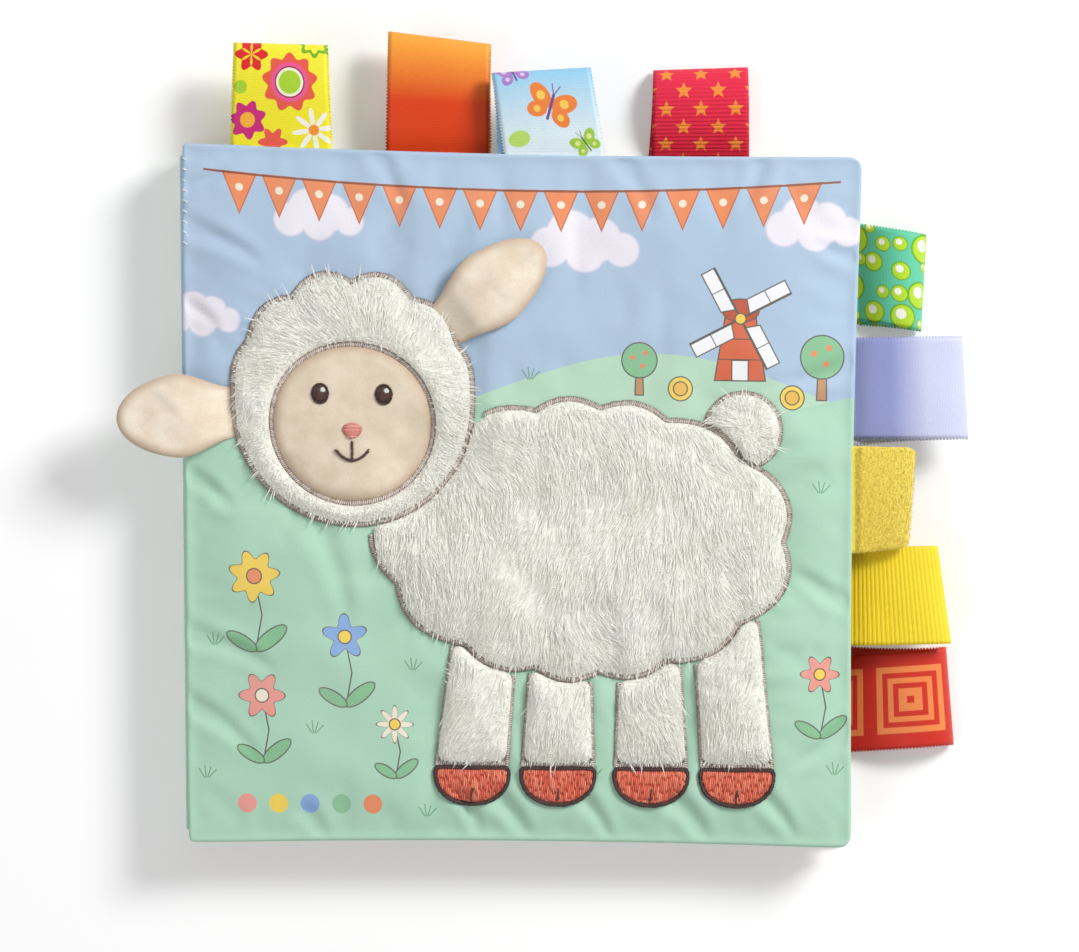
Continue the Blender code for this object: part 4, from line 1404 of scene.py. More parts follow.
class Print(Paint):
    """Cloth printed with simple shapes, which are laid one over another on a ground.

    What lies outside the window, given as (left, right, bottom, top), is left out.
    """

    def __init__(self, name, ground, window=(-90, 90, -90, 90)):
        super().__init__(name, roughness=0.9, specular=0.12)
        self.window = window
        self.flat = self.attribute("flat")
        self.base = ground

    def misses(self, x, y, reach):
        left, right, bottom, top = self.window
        return (x + reach < left or x - reach > right or y + reach < bottom
                or y - reach > top)

    def lay(self, mask, colour):
        self.base = self.mix(mask, self.base, colour)

    def shape(self, make, colour, line=LINE):
        """A filled shape with a thin line round it. make gives its mask from how far it grows."""
        if line:
            self.lay(make(PRINTED_LINE), line)
        self.lay(make(0), colour)

    def dot(self, centre, radius, colour, line=LINE):
        if self.misses(*centre, radius):
            return
        self.shape(lambda grow: self.disc(self.flat, centre, radius + grow), colour, line)

    def egg(self, centre, reach, turn, colour):
        if self.misses(*centre, max(reach)):
            return
        self.shape(lambda grow: self.oval(self.flat, centre, (reach[0] + grow, reach[1] + grow),
                                          turn), colour)

    def line(self, start, end, width=0.3, colour=LINE):
        middle = (Vector(start) + Vector(end)) / 2
        if self.misses(*middle, (Vector(end) - middle).length + width):
            return
        self.lay(self.stroke(self.flat, start, end, width), colour)

    def polygon(self, corners, colour):
        """A convex shape, its corners given anticlockwise."""
        middle = sum((Vector(corner) for corner in corners), Vector((0, 0))) / len(corners)
        if self.misses(*middle, max((Vector(corner) - middle).length for corner in corners)):
            return
        farthest = None
        for (x, y), (next_x, next_y) in zip(corners, corners[1:] + corners[:1]):
            normal = Vector((next_y - y, x - next_x, 0)).normalized()
            moved = self.vector("SUBTRACT", self.flat, (x, y, 0))
            distance = self.vector("DOT_PRODUCT", moved, tuple(normal), out=1)
            farthest = distance if farthest is None else self.either(farthest, distance)
        self.shape(lambda grow: self.inside(farthest, grow), colour)

    def hill(self, level, height, rate, phase, colour):
        """Ground below a wave round that level."""
        x, y = self.split(self.flat)
        wave = self.maths("SINE", self.maths("MULTIPLY_ADD", x, rate, phase))
        above = self.maths("SUBTRACT", y, self.maths("MULTIPLY_ADD", wave, height, level))
        self.lay(self.inside(above, 0), colour)

    def meadow(self):
        self.hill(24, 8, 0.047, 0.2, FAR_HILL)
        self.hill(19, 5, 0.055, 3.2, MINT)

    def cloud(self, x, y, size):
        if self.misses(x, y, 1.6 * size):
            return
        puffs = ((-0.9, 0, 0.5), (-0.35, 0.32, 0.62), (0.35, 0.22, 0.56), (0.95, -0.04, 0.42),
                 (0, -0.12, 0.5))
        for grow, colour in ((0.35, rgb(214, 214, 232)), (0, rgb(240, 236, 246))):
            whole = None
            for dx, dy, radius in puffs:
                centre = (x + dx * size, y + dy * size)
                puff = self.disc(self.flat, centre, radius * size + grow, soft=0.5)
                whole = puff if whole is None else self.either(whole, puff)
            self.lay(whole, colour)

    def flower(self, x, y, reach, count, colour, eye, stem, turn, depth):
        """An open flower on a bent stem with two leaves."""
        bend, foot = (x + 0.12 * stem, y - 0.6 * stem), (x + 0.02 * stem, y - 1.15 * stem)
        self.line((x, y), bend)
        self.line(bend, foot)
        for tilt, size in ((38, 0.3), (150, 0.26)):
            angle = math.radians(tilt)
            leaf = (foot[0] + size * stem * math.cos(angle),
                    foot[1] + size * stem * math.sin(angle))
            self.egg(leaf, (size * stem, 0.36 * size * stem), tilt, LEAF_GREEN)
        if not self.misses(x, y, reach):
            self.shape(lambda grow: self.petals(self.flat, (x, y), reach + grow, count, turn,
                                                depth), colour)
            self.dot((x, y), 0.27 * reach, eye)

    def tuft(self, x, y):
        """Four blades of grass."""
        size = 2.4
        for lean in (-0.7, -0.15, 0.4, 0.9):
            tip = (x + lean * size, y + size * (1.15 - 0.5 * abs(lean)))
            self.line((x + 0.25 * lean * size, y), tip, 0.22, DARK_GREEN)

    def tree(self, x, y, size):
        self.polygon([(x - 0.13 * size, y - size), (x + 0.13 * size, y - size),
                      (x + 0.1 * size, y), (x - 0.1 * size, y)], rgb(196, 150, 112))
        self.dot((x, y + 0.25 * size), 0.62 * size, LEAF_GREEN)
        for dx, dy in ((-0.25, 0.35), (0.2, 0.52), (0.12, 0.05)):
            self.dot((x + dx * size, y + dy * size), 0.09 * size, ORANGE, None)

    def finish(self):
        """Adds the cloth's own mottling and weave, and gives the material its colour."""
        mottle = self.ramp(self.noise(self.flat, 0.06, 3), 0.35, 0.7, 0.0, 0.1)
        self.base = self.mix(mottle, self.base, rgb(196, 200, 204))
        grain = self.noise(self.flat, 2.2, 2, 0.6)
        self.colour(self.mix(self.ramp(grain, 0.3, 0.7, 0.06, 0.0), self.base, rgb(120, 124, 130)))
        self.bump(self.noise(self.flat, 2.8, 2, 0.6), 0.06, 0.6)
        return self


HALF_PITCH, PENNANTS_END, CORD_END = 4.4, 65.9, 69.5
BUNTING_BOTTOM = 55


def windmill(sheet, x, y, size):
    tower = [(x - 0.36 * size, y - 0.9 * size), (x + 0.36 * size, y - 0.9 * size),
             (x + 0.2 * size, y + 0.12 * size), (x - 0.2 * size, y + 0.12 * size)]
    sheet.polygon(tower, BRICK)
    for level in (-0.6, -0.3):
        half = 0.36 - 0.157 * (level + 0.9)
        sheet.line((x - half * size, y + level * size), (x + half * size, y + level * size), 0.25)
    sheet.egg((x, y + 0.12 * size), (0.26 * size, 0.16 * size), 0, rgb(196, 92, 64))
    sheet.polygon([(x - 0.11 * size, y - 0.9 * size), (x + 0.11 * size, y - 0.9 * size),
                   (x + 0.11 * size, y - 0.62 * size), (x - 0.11 * size, y - 0.62 * size)], WHITE)
    for quarter in range(4):
        angle = math.radians(28 + 90 * quarter)
        cos, sin = math.cos(angle), math.sin(angle)

        def at(out, aside):
            return (x + size * (out * cos - aside * sin), y + size * (out * sin + aside * cos))

        sheet.polygon([at(0.16, 0.0), at(0.82, 0.0), at(0.82, 0.2), at(0.22, 0.2)], WHITE)
        sheet.line(at(0, 0), at(0.82, 0), 0.5)
        sheet.line(at(0.5, 0), at(0.5, 0.2), 0.22)
    sheet.dot((x, y), 0.07 * size, YELLOW)


def bunting(sheet):
    """Orange pennants on a line across the top."""
    x, y = sheet.split(sheet.flat)
    sag = sheet.maths("MULTIPLY_ADD", sheet.maths("MULTIPLY", x, x), 0.0007, 67.2)
    below = sheet.maths("SUBTRACT", sag, y)
    place = sheet.maths("ABSOLUTE", sheet.maths("WRAP", x, HALF_PITCH, -HALF_PITCH))
    side = sheet.maths("MULTIPLY_ADD", below, 0.42, place)
    reach = sheet.maths("ABSOLUTE", x)
    for grow, colour in ((0.3, rgb(206, 112, 72)), (0.0, ORANGE)):
        mask = sheet.both(sheet.inside(side, 3.5 + grow),
                          sheet.inside(sheet.maths("MULTIPLY", below, -1), grow))
        sheet.lay(sheet.both(mask, sheet.inside(reach, PENNANTS_END)), colour)
    cell = sheet.join(place, below)
    spot = sheet.disc(cell, (0, 3.0), 0.85)
    sheet.lay(sheet.both(spot, sheet.inside(reach, PENNANTS_END)), CREAM)
    cord = sheet.inside(sheet.maths("ABSOLUTE", below), 0.24)
    sheet.lay(sheet.both(cord, sheet.inside(reach, CORD_END)), rgb(150, 92, 66))


def cover_print(name, window):
    """The part of the cover's print that lies in a window."""
    sheet = Print(name, SKY, window)
    for x, y, size in ((-44, 60, 7), (14, 55, 8.5), (64, 60, 7.5), (-70, 38, 6)):
        sheet.cloud(x, y, size)
    sheet.meadow()
    windmill(sheet, 48, 40, 15)
    for x, y, size in ((66, 30, 7.5), (26, 29, 6), (-70, 16, 6)):
        sheet.tree(x, y, size)
    for x, y in ((35, 24.4), (59.5, 22.8)):
        sheet.dot((x, y), 2.5, YELLOW)
        sheet.dot((x, y), 1.4, rgb(240, 190, 84))
    # Place, reach, petals, their colour and the eye's, stem, turn and depth of the notches
    for flower in ((-59, -18, 5.6, 7, YELLOW, ORANGE, 14, 8, 0.17),
                   (-39, -31, 4.9, 5, BLUE, YELLOW, 13, 20, 0.24),
                   (-57.5, -44, 5.0, 6, PINK, CREAM, 12.5, 0, 0.2),
                   (-28, -50, 4.0, 8, CREAM, YELLOW, 10, 0, 0.3),
                   (66.5, -38, 4.2, 6, PINK, YELLOW, 12, 0, 0.22)):
        sheet.flower(*flower)
    for x, y in ((-68, -33), (-46, -52), (-24, -38), (-50, 4), (-70, -62), (66, 2), (70, -60),
                 (16, -61), (2, 26), (-21, -70)):
        sheet.tuft(x, y)
    for place, colour in enumerate((PINK, YELLOW, BLUE, LEAF_GREEN, ORANGE)):
        sheet.dot((-61 + 7 * place, -67.5), 2.1, colour, None)
    if window[3] > BUNTING_BOTTOM:
        bunting(sheet)
    return sheet.finish()


def page_print(name, ground, spots, petals, heart, count):
    """A page: small spots all over, and one large flower in a ring in the middle."""
    sheet = Print(name, ground)
    cell = lattice(sheet, sheet.flat, (14, 14))
    sheet.lay(sheet.disc(cell, (0, 0), 1.7), spots)
    sheet.dot((0, 0), 45, WHITE)
    sheet.shape(lambda grow: sheet.petals(sheet.flat, (0, 0), 36 + grow, count, 12, 0.18), petals)
    sheet.dot((0, 0), 15, heart)
    sheet.dot((0, 0), 9, CREAM)
    return sheet.finish()


def back_print():
    sheet = Print("back_cloth", MINT)
    for shift, colour in (((0, 0), CREAM), ((11, 11), YELLOW)):
        cell = lattice(sheet, sheet.flat, (22, 22), shift)
        sheet.lay(sheet.petals(cell, (0, 0), 3.4, 6, 0, 0.2), colour)
        sheet.lay(sheet.disc(cell, (0, 0), 1.0), ORANGE)
    return sheet.finish()


def lattice(paint, flat, pitch, shift=(0, 0)):
    """The point's place in a repeating cell, from the cell's middle."""
    x, y = paint.split(flat)
    cells = []
    for value, size, offset in ((x, pitch[0], shift[0]), (y, pitch[1], shift[1])):
        moved = paint.maths("ADD", value, offset)
        cells.append(paint.maths("WRAP", moved, size / 2, -size / 2))
    return paint.join(*cells)


# The cover's print is cut into windows, as one material can't hold all of it
ACROSS, UPWARD = (-90, -47, -14, 22, 42, 56, 90), (-90, -56, -42, -22, 10, 36, 55, 90)


def window_of(x, y):
    """The number of the window that holds each place."""
    column = np.searchsorted(ACROSS[1:-1], x)
    row = np.searchsorted(UPWARD[1:-1], y)
    return row * (len(ACROSS) - 1) + column


WINDOWS = [(left - 1, right + 1, bottom - 1, top + 1)
           for bottom, top in zip(UPWARD, UPWARD[1:]) for left, right in zip(ACROSS, ACROSS[1:])]
COVER_PRINT = [cover_print(f"cover_cloth_{place}", window)
               for place, window in enumerate(WINDOWS)]
BACK_PRINT = back_print()
# Name, ground, spots, petals, heart and number of petals
PAGES = [
    page_print("sunny_page", rgb(250, 232, 170), rgb(244, 190, 90), ORANGE, YELLOW, 8),
    page_print("blue_page", rgb(196, 218, 240), rgb(150, 184, 226), BLUE, PINK, 6),
    page_print("pink_page", rgb(246, 206, 204), rgb(236, 160, 160), PINK, YELLOW, 7),
    page_print("green_page", rgb(204, 232, 204), rgb(150, 204, 160), LEAF_GREEN, ORANGE, 9),
]

# Leaf, side, cells each way, folds, paint and slot
PANELS = (
    ("front", 1, 170, COVER_FOLDS, COVER_PRINT, "sky_print"),
    ("front", -1, 80, PAGE_FOLDS, PAGES[0], "page_print"),
    ("middle", 1, 80, PAGE_FOLDS, PAGES[1], "page_print"),
    ("middle", -1, 80, PAGE_FOLDS, PAGES[2], "page_print"),
    ("back", 1, 80, PAGE_FOLDS, PAGES[3], "page_print"),
    ("back", -1, 60, PAGE_FOLDS, BACK_PRINT, "meadow_print"),
)
for row in PANELS:
    panel(*row)


# Spine, crinkle films and waddings

SPINE_HALF = 73.4
SPINE_CLOTH = 0.3
SPINE_COLUMNS, SPINE_ROWS = 14, 150
CORE_X, CORE_SIDES, CORE_ROWS = -74.4, 14, 700
FILM_INSET, WADDING_INSET = 8, 12
FILM_GRID, WADDING_GRID = (90, 92), (70, 72)
FOIL = 0.06


def spine_print():
    """The cover's sky and meadow, carried on round the spine."""
    sheet = Print("spine_cloth", SKY)
    sheet.meadow()
    return sheet.finish()


def spine_strip(name, profile, body, paint):
    """A strip of cloth along the spine. Its profile is a line of places across and up."""
    y = np.linspace(-SPINE_HALF, SPINE_HALF, SPINE_ROWS)[:, None]
    across = spaced(profile, SPINE_COLUMNS, False)
    ahead = np.gradient(across, axis=0)
    ahead /= np.hypot(*ahead.T)[:, None]
    outward = np.column_stack([-ahead[:, 1], ahead[:, 0]])
    outward *= -np.sign(outward[SPINE_COLUMNS // 2, 0])
    pucker = 0.08 * noise(y, np.arange(SPINE_COLUMNS)[None, :] * 1.2, 4, 17, 2)
    pucker = pucker * np.sin(np.linspace(0, np.pi, SPINE_COLUMNS))
    layers = []
    for offset in (SPINE_CLOTH / 2, -SPINE_CLOTH / 2):
        x, z = (across.T[:, None, :] + outward.T[:, None, :] * (pucker + offset))
        layers.append(placed(x, y, z))
    faces = sheet_faces(SPINE_COLUMNS, SPINE_ROWS)
    # The first layer has to face away from the book
    a, b, c = layers[0][[0, 1, SPINE_COLUMNS]]
    if np.cross(b - a, c - a)[0] > 0:
        faces = faces[:, ::-1]
    flat = doubled(*np.meshgrid(across[:, 1] - 88, y))
    piece = add_mesh(name, np.vstack(layers), faces, paint, flat=flat)
    fit(piece, name, body, "spine_cloth")
    run = length_of(across)


def spine_core():
    """The bundle of seam ends on the hinge line, bound by a slanting thread."""
    y = np.linspace(-SPINE_HALF, SPINE_HALF, CORE_ROWS)[:, None]
    angle = np.linspace(0, 2 * np.pi, CORE_SIDES, endpoint=False)[None, :]
    turn = y * 2 * np.pi / 2.6 + angle
    radius = 0.56 + 0.09 * np.maximum(0, np.cos(2 * turn)) ** 2
    radius = radius + 0.04 * noise(y, angle, 0.9, 23)
    points = placed(CORE_X + radius * np.cos(angle), y, SPINE_Z + radius * np.sin(angle))
    faces = grid_faces(CORE_SIDES, CORE_ROWS, flip=True, wrap=True).tolist()
    end = (CORE_ROWS - 1) * CORE_SIDES
    faces += [tuple(range(CORE_SIDES)), tuple(end + k for k in range(CORE_SIDES))[::-1]]
    # The tint darkens the core between the thread's turns, as painted shade in the grooves
    tint = np.clip((radius.ravel() - 0.52) / 0.13, 0, 1)
    piece = add_mesh("spine_seam_core", points, faces, WHITE_THREAD, flat=points[:, 1:],
                     tint=tint)
    fit(piece, "spine_seam_core", "back_cover", "thread")


def closing_stitches():
    """Small slanting stitches that close the cover's edge near its top left corner."""
    parts = []
    draw = np.random.default_rng(29)
    for y in np.arange(54, 73.5, 2.3):
        shift = draw.normal(0, 0.15, 2)
        path = [(-73.1 + shift[0], y), (-74.22, y + 0.75 + shift[1])]
        parts.append((*stitch(path, cover_level, radius=0.15, lift=0.12), 0.8))
    put_on_cover("closing_stitches", parts, WHITE_THREAD)


def film_paint():
    paint = Paint("crinkle_film", roughness=0.22, specular=0.6)
    flat = paint.attribute("flat")
    cloudy = paint.noise(flat, 0.12, 3)
    paint.colour(paint.mix(cloudy, rgb(222, 226, 230), rgb(236, 240, 242)))
    paint.bump(paint.noise(flat, 0.7, 3, 0.7), 0.15, 0.7)
    return paint


def wadding_paint():
    paint = Paint("wadding_fibres", roughness=0.95, sheen=0.2, specular=0.1)
    flat = paint.attribute("flat")
    fibres = paint.noise(paint.vector("MULTIPLY", flat, (2.2, 0.7, 1)), 1.2, 4, 0.7)
    paint.colour(paint.mix(paint.ramp(fibres, 0.3, 0.7), rgb(226, 226, 222), rgb(248, 248, 246)))
    paint.bump(fibres, 0.3, 0.8)
    return paint


def leaf_grid(inset, grid):
    """A grid over a leaf, that far in from its edges: shares of the leaf, and plan places."""
    x, y = leaf_plan(*unit_grid(*grid), inset)
    return *leaf_share(x, y), x, y


def crumples(x, y, seed):
    """Sharp ridges of crumpled foil, up to 1."""
    folds = [1 - np.abs(noise(x, y, cell, seed + cell)) * 2 for cell in (5, 9, 16)]
    return np.clip(np.maximum.reduce(folds), 0, 1) ** 3


def film(leaf, seed):
    """A thin crackling foil that lies on the leaf's lower cloth."""
    s, t, x, y = leaf_grid(FILM_INSET, FILM_GRID)
    level = lining_height(leaf, -1, s, t, PAGE_FOLDS) + 0.1 + 0.22 * crumples(x, y, seed)
    lower_cloth, name = LEAF_PIECES[leaf][:2]
    piece = add_mesh(name, placed(x, y, level + FOIL, level), sheet_faces(*FILM_GRID), FILM_PAINT,
                     flat=doubled(x, y), smooth_faces=False)
    fit(piece, name, LEAF_BODIES[leaf], "film")


def wadding(leaf, folds, seed):
    """A soft pad between the film and the leaf's upper cloth."""
    s, t, x, y = leaf_grid(WADDING_INSET, WADDING_GRID)
    low = lining_height(leaf, -1, s, t, PAGE_FOLDS) + 0.45
    high = lining_height(leaf, 1, s, t, folds) - 0.12
    u, v = unit_grid(*WADDING_GRID)
    edge = np.minimum((1 - np.abs(u)) * (HALF_WIDTH - WADDING_INSET),
                      (1 - np.abs(v)) * (HALF_HEIGHT - WADDING_INSET))
    full = 0.12 + 0.88 * np.sqrt(1 - (1 - np.clip(edge / 4, 0, 1)) ** 2)
    lumps = 1 - 0.12 * np.abs(noise(x, y, 7, seed, 2))
    middle, half = (high + low) / 2, (high - low) / 2 * full * lumps
    name = LEAF_PIECES[leaf][2]
    piece = add_mesh(name, placed(x, y, middle + half, middle - half), sheet_faces(*WADDING_GRID),
                     WADDING_PAINT, flat=doubled(x, y))
    fit(piece, name, LEAF_BODIES[leaf], "wadding")


FILM_PAINT = film_paint()
WADDING_PAINT = wadding_paint()
SPINE_PRINT = spine_print()

for leaf_name, leaf_folds, leaf_seed in (
    ("back", PAGE_FOLDS, 200), ("middle", PAGE_FOLDS, 240), ("front", COVER_FOLDS, 280),
):
    film(leaf_name, leaf_seed)
    wadding(leaf_name, leaf_folds, leaf_seed)

spine_strip("spine_cloth_upper", [(-74.15, 13.75), (-74.5, 12.9), (-74.62, 10.8), (-74.45, 8.85)],
            "front_cover", SPINE_PRINT)
spine_strip("spine_cloth_lower", [(-74.15, 0.7), (-74.5, 1.7), (-74.62, 4.5), (-74.45, 7.35)],
            "back_cover", BACK_PRINT)
spine_core()
closing_stitches()


# Ribbon loops

WEAVE_PITCH = 0.35


def satin_paint(name, first, second, near=0.0, far=-24.0, roughness=0.38, ground=None):
    """A woven ribbon whose colour goes from first to second between two distances from its fold:
    painted highlight and shade of the loop's curve.
    """
    paint = Paint(name, roughness=roughness, sheen=0.08, specular=0.28)
    flat = paint.attribute("flat")
    _, y = paint.split(flat)
    base = paint.mix(paint.ramp(y, near, far), first, second)
    if ground:
        base = ground(paint, flat, base)
    grain = paint.noise(paint.vector("MULTIPLY", flat, (0.6, 5, 1)), 1.5, 2)
    paint.colour(paint.mix(paint.ramp(grain, 0.3, 0.7, 0.1, 0.0), base, (0, 0, 0)))
    ribs = paint.maths("SINE", paint.maths("MULTIPLY", y, 2 * math.pi / WEAVE_PITCH))
    paint.bump(ribs, 0.03, 0.5)
    return paint


def flowers(paint, flat, base):
    """Bright flowers on yellow."""
    def ring(base, centre, radius, colour):
        return paint.mix(paint.disc(flat, centre, radius), base, colour)

    coral, pink, lime = rgb(236, 92, 74), rgb(240, 92, 150), rgb(172, 214, 52)
    magenta, red, green = rgb(206, 40, 120), rgb(222, 40, 40), rgb(120, 178, 40)
    base = paint.mix(paint.petals(flat, (2.2, -9.2), 6.6, 9, 10, 0.1), base, coral)
    for radius, colour in ((4.4, pink), (3.5, rgb(130, 40, 80)), (3.2, rgb(250, 244, 220)),
                           (2.6, lime)):
        base = ring(base, (2.2, -9.2), radius, colour)
    base = paint.mix(paint.petals(flat, (-7.0, -3.2), 4.0, 6, 0, 0.16), base, red)
    base = paint.mix(paint.petals(flat, (-7.0, -3.2), 2.6, 6, 30, 0.75), base, rgb(250, 214, 60))
    base = paint.mix(paint.petals(flat, (-7.6, -17.6), 4.4, 7, 20, 0.14), base, magenta)
    base = ring(base, (-7.6, -17.6), 1.7, rgb(250, 180, 60))
    base = paint.mix(paint.petals(flat, (7.6, -19.8), 5.0, 8, 8, 0.42), base, rgb(250, 248, 240))
    base = ring(base, (7.6, -19.8), 1.2, rgb(246, 150, 50))
    outer = paint.petals(flat, (8.2, 0.4), 4.2, 8, 0, 0.12)
    inner = paint.petals(flat, (8.2, 0.4), 3.2, 8, 0, 0.12)
    base = paint.mix(paint.maths("SUBTRACT", outer, inner), base, green)
    base = ring(base, (-9.4, -10.4), 1.5, lime)
    return paint.mix(paint.petals(flat, (-1.8, -22.5), 3.4, 6, 0, 0.2), base, coral)


def butterfly(paint, flat, base, centre, size, turn, wing, spot, body):
    """A butterfly with four spotted wings, a body and feelers."""
    angle = math.radians(turn)
    cos, sin = math.cos(angle), math.sin(angle)
    for side in (-1, 1):
        for reach, lift, lean, spots in (((0.62, 0.4), 0.34, 38, 0.2),
                                         ((0.46, 0.36), -0.3, -30, 0.15)):
            dx, dy = side * 0.55 * size, lift * size
            place = (centre[0] + dx * cos - dy * sin, centre[1] + dx * sin + dy * cos)
            shape = paint.oval(flat, place, (reach[0] * size, reach[1] * size), turn + side * lean)
            base = paint.mix(shape, base, wing)
            base = paint.mix(paint.disc(flat, place, spots * size), base, spot)
    angle = math.radians(turn + 90)
    step = (0.55 * size * math.cos(angle), 0.55 * size * math.sin(angle))
    ends = [(centre[0] + k * step[0], centre[1] + k * step[1]) for k in (-1, 1)]
    base = paint.mix(paint.stroke(flat, *ends, 0.13 * size), base, body)
    (x, y), feeler = ends[1], 0.5 * size
    for side in (-1, 1):
        angle = math.radians(turn + 90 + side * 22)
        far = (x + feeler * math.cos(angle), y + feeler * math.sin(angle))
        base = paint.mix(paint.stroke(flat, (x, y), far, 0.05 * size, 0.2), base, body)
    return base


def butterflies(paint, flat, base):
    base = butterfly(paint, flat, base, (0.8, -9.0), 5.0, -24, rgb(240, 134, 64),
                     rgb(250, 206, 90), rgb(120, 76, 140))
    base = butterfly(paint, flat, base, (-6.6, -1.0), 3.4, 18, rgb(170, 128, 200),
                     rgb(222, 200, 236), rgb(96, 70, 130))
    base = butterfly(paint, flat, base, (7.6, -17.2), 3.0, 30, rgb(160, 206, 70),
                     rgb(222, 240, 150), rgb(90, 120, 60))
    return paint.mix(paint.oval(flat, (-7.4, -16.0), (2.6, 1.8), 20), base, rgb(190, 226, 110))


def star(paint, point, radius):
    """A five-pointed star round the point's own origin."""
    x, y = paint.split(point)
    angle = paint.maths("ARCTAN2", x, y)
    fold = paint.maths("PINGPONG", angle, math.pi / 5)
    distance = paint.vector("LENGTH", paint.join(x, y), out=1)
    # The edge runs from the tip at fold 0 to the notch at fold 36 degrees
    notch = 0.45
    step = math.pi / 5
    nx, ny = notch * math.cos(step), notch * math.sin(step)
    slope = (1 - nx) / ny
    along = paint.maths("COSINE", fold)
    aside = paint.maths("MULTIPLY", paint.maths("SINE", fold), slope)
    limit = paint.maths("MULTIPLY", distance, paint.maths("ADD", along, aside))
    return paint.inside(limit, radius, 0.15)


def stars(paint, flat, base):
    for shift in ((0, 1.5), (3.9, 5.55)):
        cell = lattice(paint, flat, (7.8, 8.1), shift)
        base = paint.mix(star(paint, cell, 1.95), base, rgb(244, 146, 58))
    return base


def dots(paint, flat, base):
    cell = lattice(paint, flat, (23, 16.6))
    for x, y, radius in ((-8.4, 4.6, 2.6), (-3.2, -1.2, 3.3), (3.0, 4.2, 2.3), (7.6, -0.6, 3.5),
                         (1.8, -6.0, 2.2), (-8.6, -5.2, 3.0), (7.4, 6.4, 1.8), (-3.6, 6.6, 1.6),
                         (8.0, -6.4, 1.7), (-9.8, -0.4, 1.3), (3.4, -0.4, 1.1),
                         (-3.4, -6.2, 2.0), (3.2, 0.9, 1.5), (10.6, 3.2, 1.3)):
        base = paint.mix(paint.disc(cell, (x, y), radius), base, rgb(110, 176, 46))
        base = paint.mix(paint.disc(cell, (x, y), radius * 0.86), base, rgb(186, 224, 50))
        base = paint.mix(paint.disc(cell, (x + 0.2 * radius, y - 0.15 * radius), radius * 0.4),
                         base, rgb(250, 252, 236))
    return base


def squares(paint, flat, base):
    x, y = paint.split(lattice(paint, flat, (22.6, 18.4), (0, 9.6)))
    distance = paint.maths("MAXIMUM", paint.maths("ABSOLUTE", x), paint.maths("ABSOLUTE", y))
    orange = rgb(244, 140, 78)
    for reaches in ((7.6, 6.2), (5.0, 3.8), (2.6, 0.8)):
        band = paint.maths("SUBTRACT", *(paint.inside(distance, reach) for reach in reaches))
        base = paint.mix(band, base, orange)
    return base


def ribbon_paints():
    # First colours lie at each ribbon's fold, second ones further along: painted highlight and
    # shade of the loop's curve
    return {
        "flower_ribbon": satin_paint("flower_satin", rgb(250, 240, 60), rgb(246, 234, 40),
                                     ground=flowers),
        "orange_ribbon": satin_paint("orange_satin", rgb(254, 168, 62), rgb(226, 66, 10),
                                     near=-2, far=-15),
        "butterfly_ribbon": satin_paint("blue_satin", rgb(150, 204, 236), rgb(228, 244, 250),
                                        near=-1, far=-15, ground=butterflies),
        "star_ribbon": satin_paint("star_grosgrain", rgb(232, 40, 74), rgb(222, 28, 62),
                                   roughness=0.6, ground=stars),
        "dot_ribbon": satin_paint("dot_satin", rgb(104, 208, 168), rgb(88, 196, 164),
                                  ground=dots),
        "lavender_ribbon": satin_paint("lavender_satin", rgb(212, 217, 246), rgb(150, 158, 212),
                                       near=-9, far=-17),
        "plush_ribbon": satin_paint("yellow_plush", rgb(253, 232, 112), rgb(250, 222, 84),
                                    roughness=0.95),
        "ribbed_ribbon": satin_paint("yellow_grosgrain", rgb(250, 224, 52), rgb(244, 210, 30),
                                     roughness=0.6),
        "square_ribbon": satin_paint("square_satin", rgb(214, 50, 34), rgb(208, 44, 30),
                                     ground=squares),
    }


# Leaf, edge, then in millimetres: sideways lean of the fold, slip of the lower strand, slant of
# the fold, taper to the fold, cupping of the width, and the pitch of its ribs or 0
RIBBONS = {
    "flower_ribbon": ("front", "top", 0.0, 0.3, -0.6, 1.6, 0.5, 0),
    "orange_ribbon": ("middle", "top", 0.5, 0.6, -2.8, 0.2, 0.3, 0),
    "butterfly_ribbon": ("front", "top", -2.9, -1.5, 1.2, 0.6, 0.3, 0),
    "star_ribbon": ("back", "top", 0.0, -0.8, 0.7, 0.6, 0.3, 0.9),
    "dot_ribbon": ("back", "side", -2.4, -0.8, 1.2, 0.4, 0.4, 0),
    "lavender_ribbon": ("middle", "side", 0.2, -1.3, -1.4, -0.2, 0.3, 0),
    "plush_ribbon": ("front", "side", 0.6, 0.2, 1.6, 1.4, 0.3, 0),
    "ribbed_ribbon": ("middle", "side", 0.4, 0.2, -3.0, 0.2, 0.3, 0.95),
    "square_ribbon": ("back", "side", 1.6, 1.6, -1.7, 0.2, 0.3, 0),
}
SEWN_IN = 2.0
RIBBON_COLUMNS = 25
# Rows of points to a millimetre
PLAIN_ROWS, RIBBED_ROWS = 3, 7
# Thickness of a ribbon and of the plush tab, half the strands' distance at their root, and
# the steps of each strand
RIBBON_CLOTH, PLUSH_CLOTH = 0.28, 0.9
ROOT_GAP = 0.28
STRAND_STEPS = 300
EDGE_PITCH = 0.72
PILE_COUNT, PILE_LENGTH = 26000, 0.5


def loop_side(length, bulge):
    """One strand of a folded ribbon, from its root to its fold: distances out and away."""
    angle = np.linspace(0, np.pi, STRAND_STEPS)
    steps = np.linspace(0, np.pi, 400)
    peak = (np.sin(steps) * np.sin(steps / 2)).max()
    out = length * (1 - np.cos(angle)) / 2
    away = ROOT_GAP * np.cos(angle / 2) ** 2
    away += (bulge - ROOT_GAP) * np.sin(angle) * np.sin(angle / 2) / peak
    return out, away


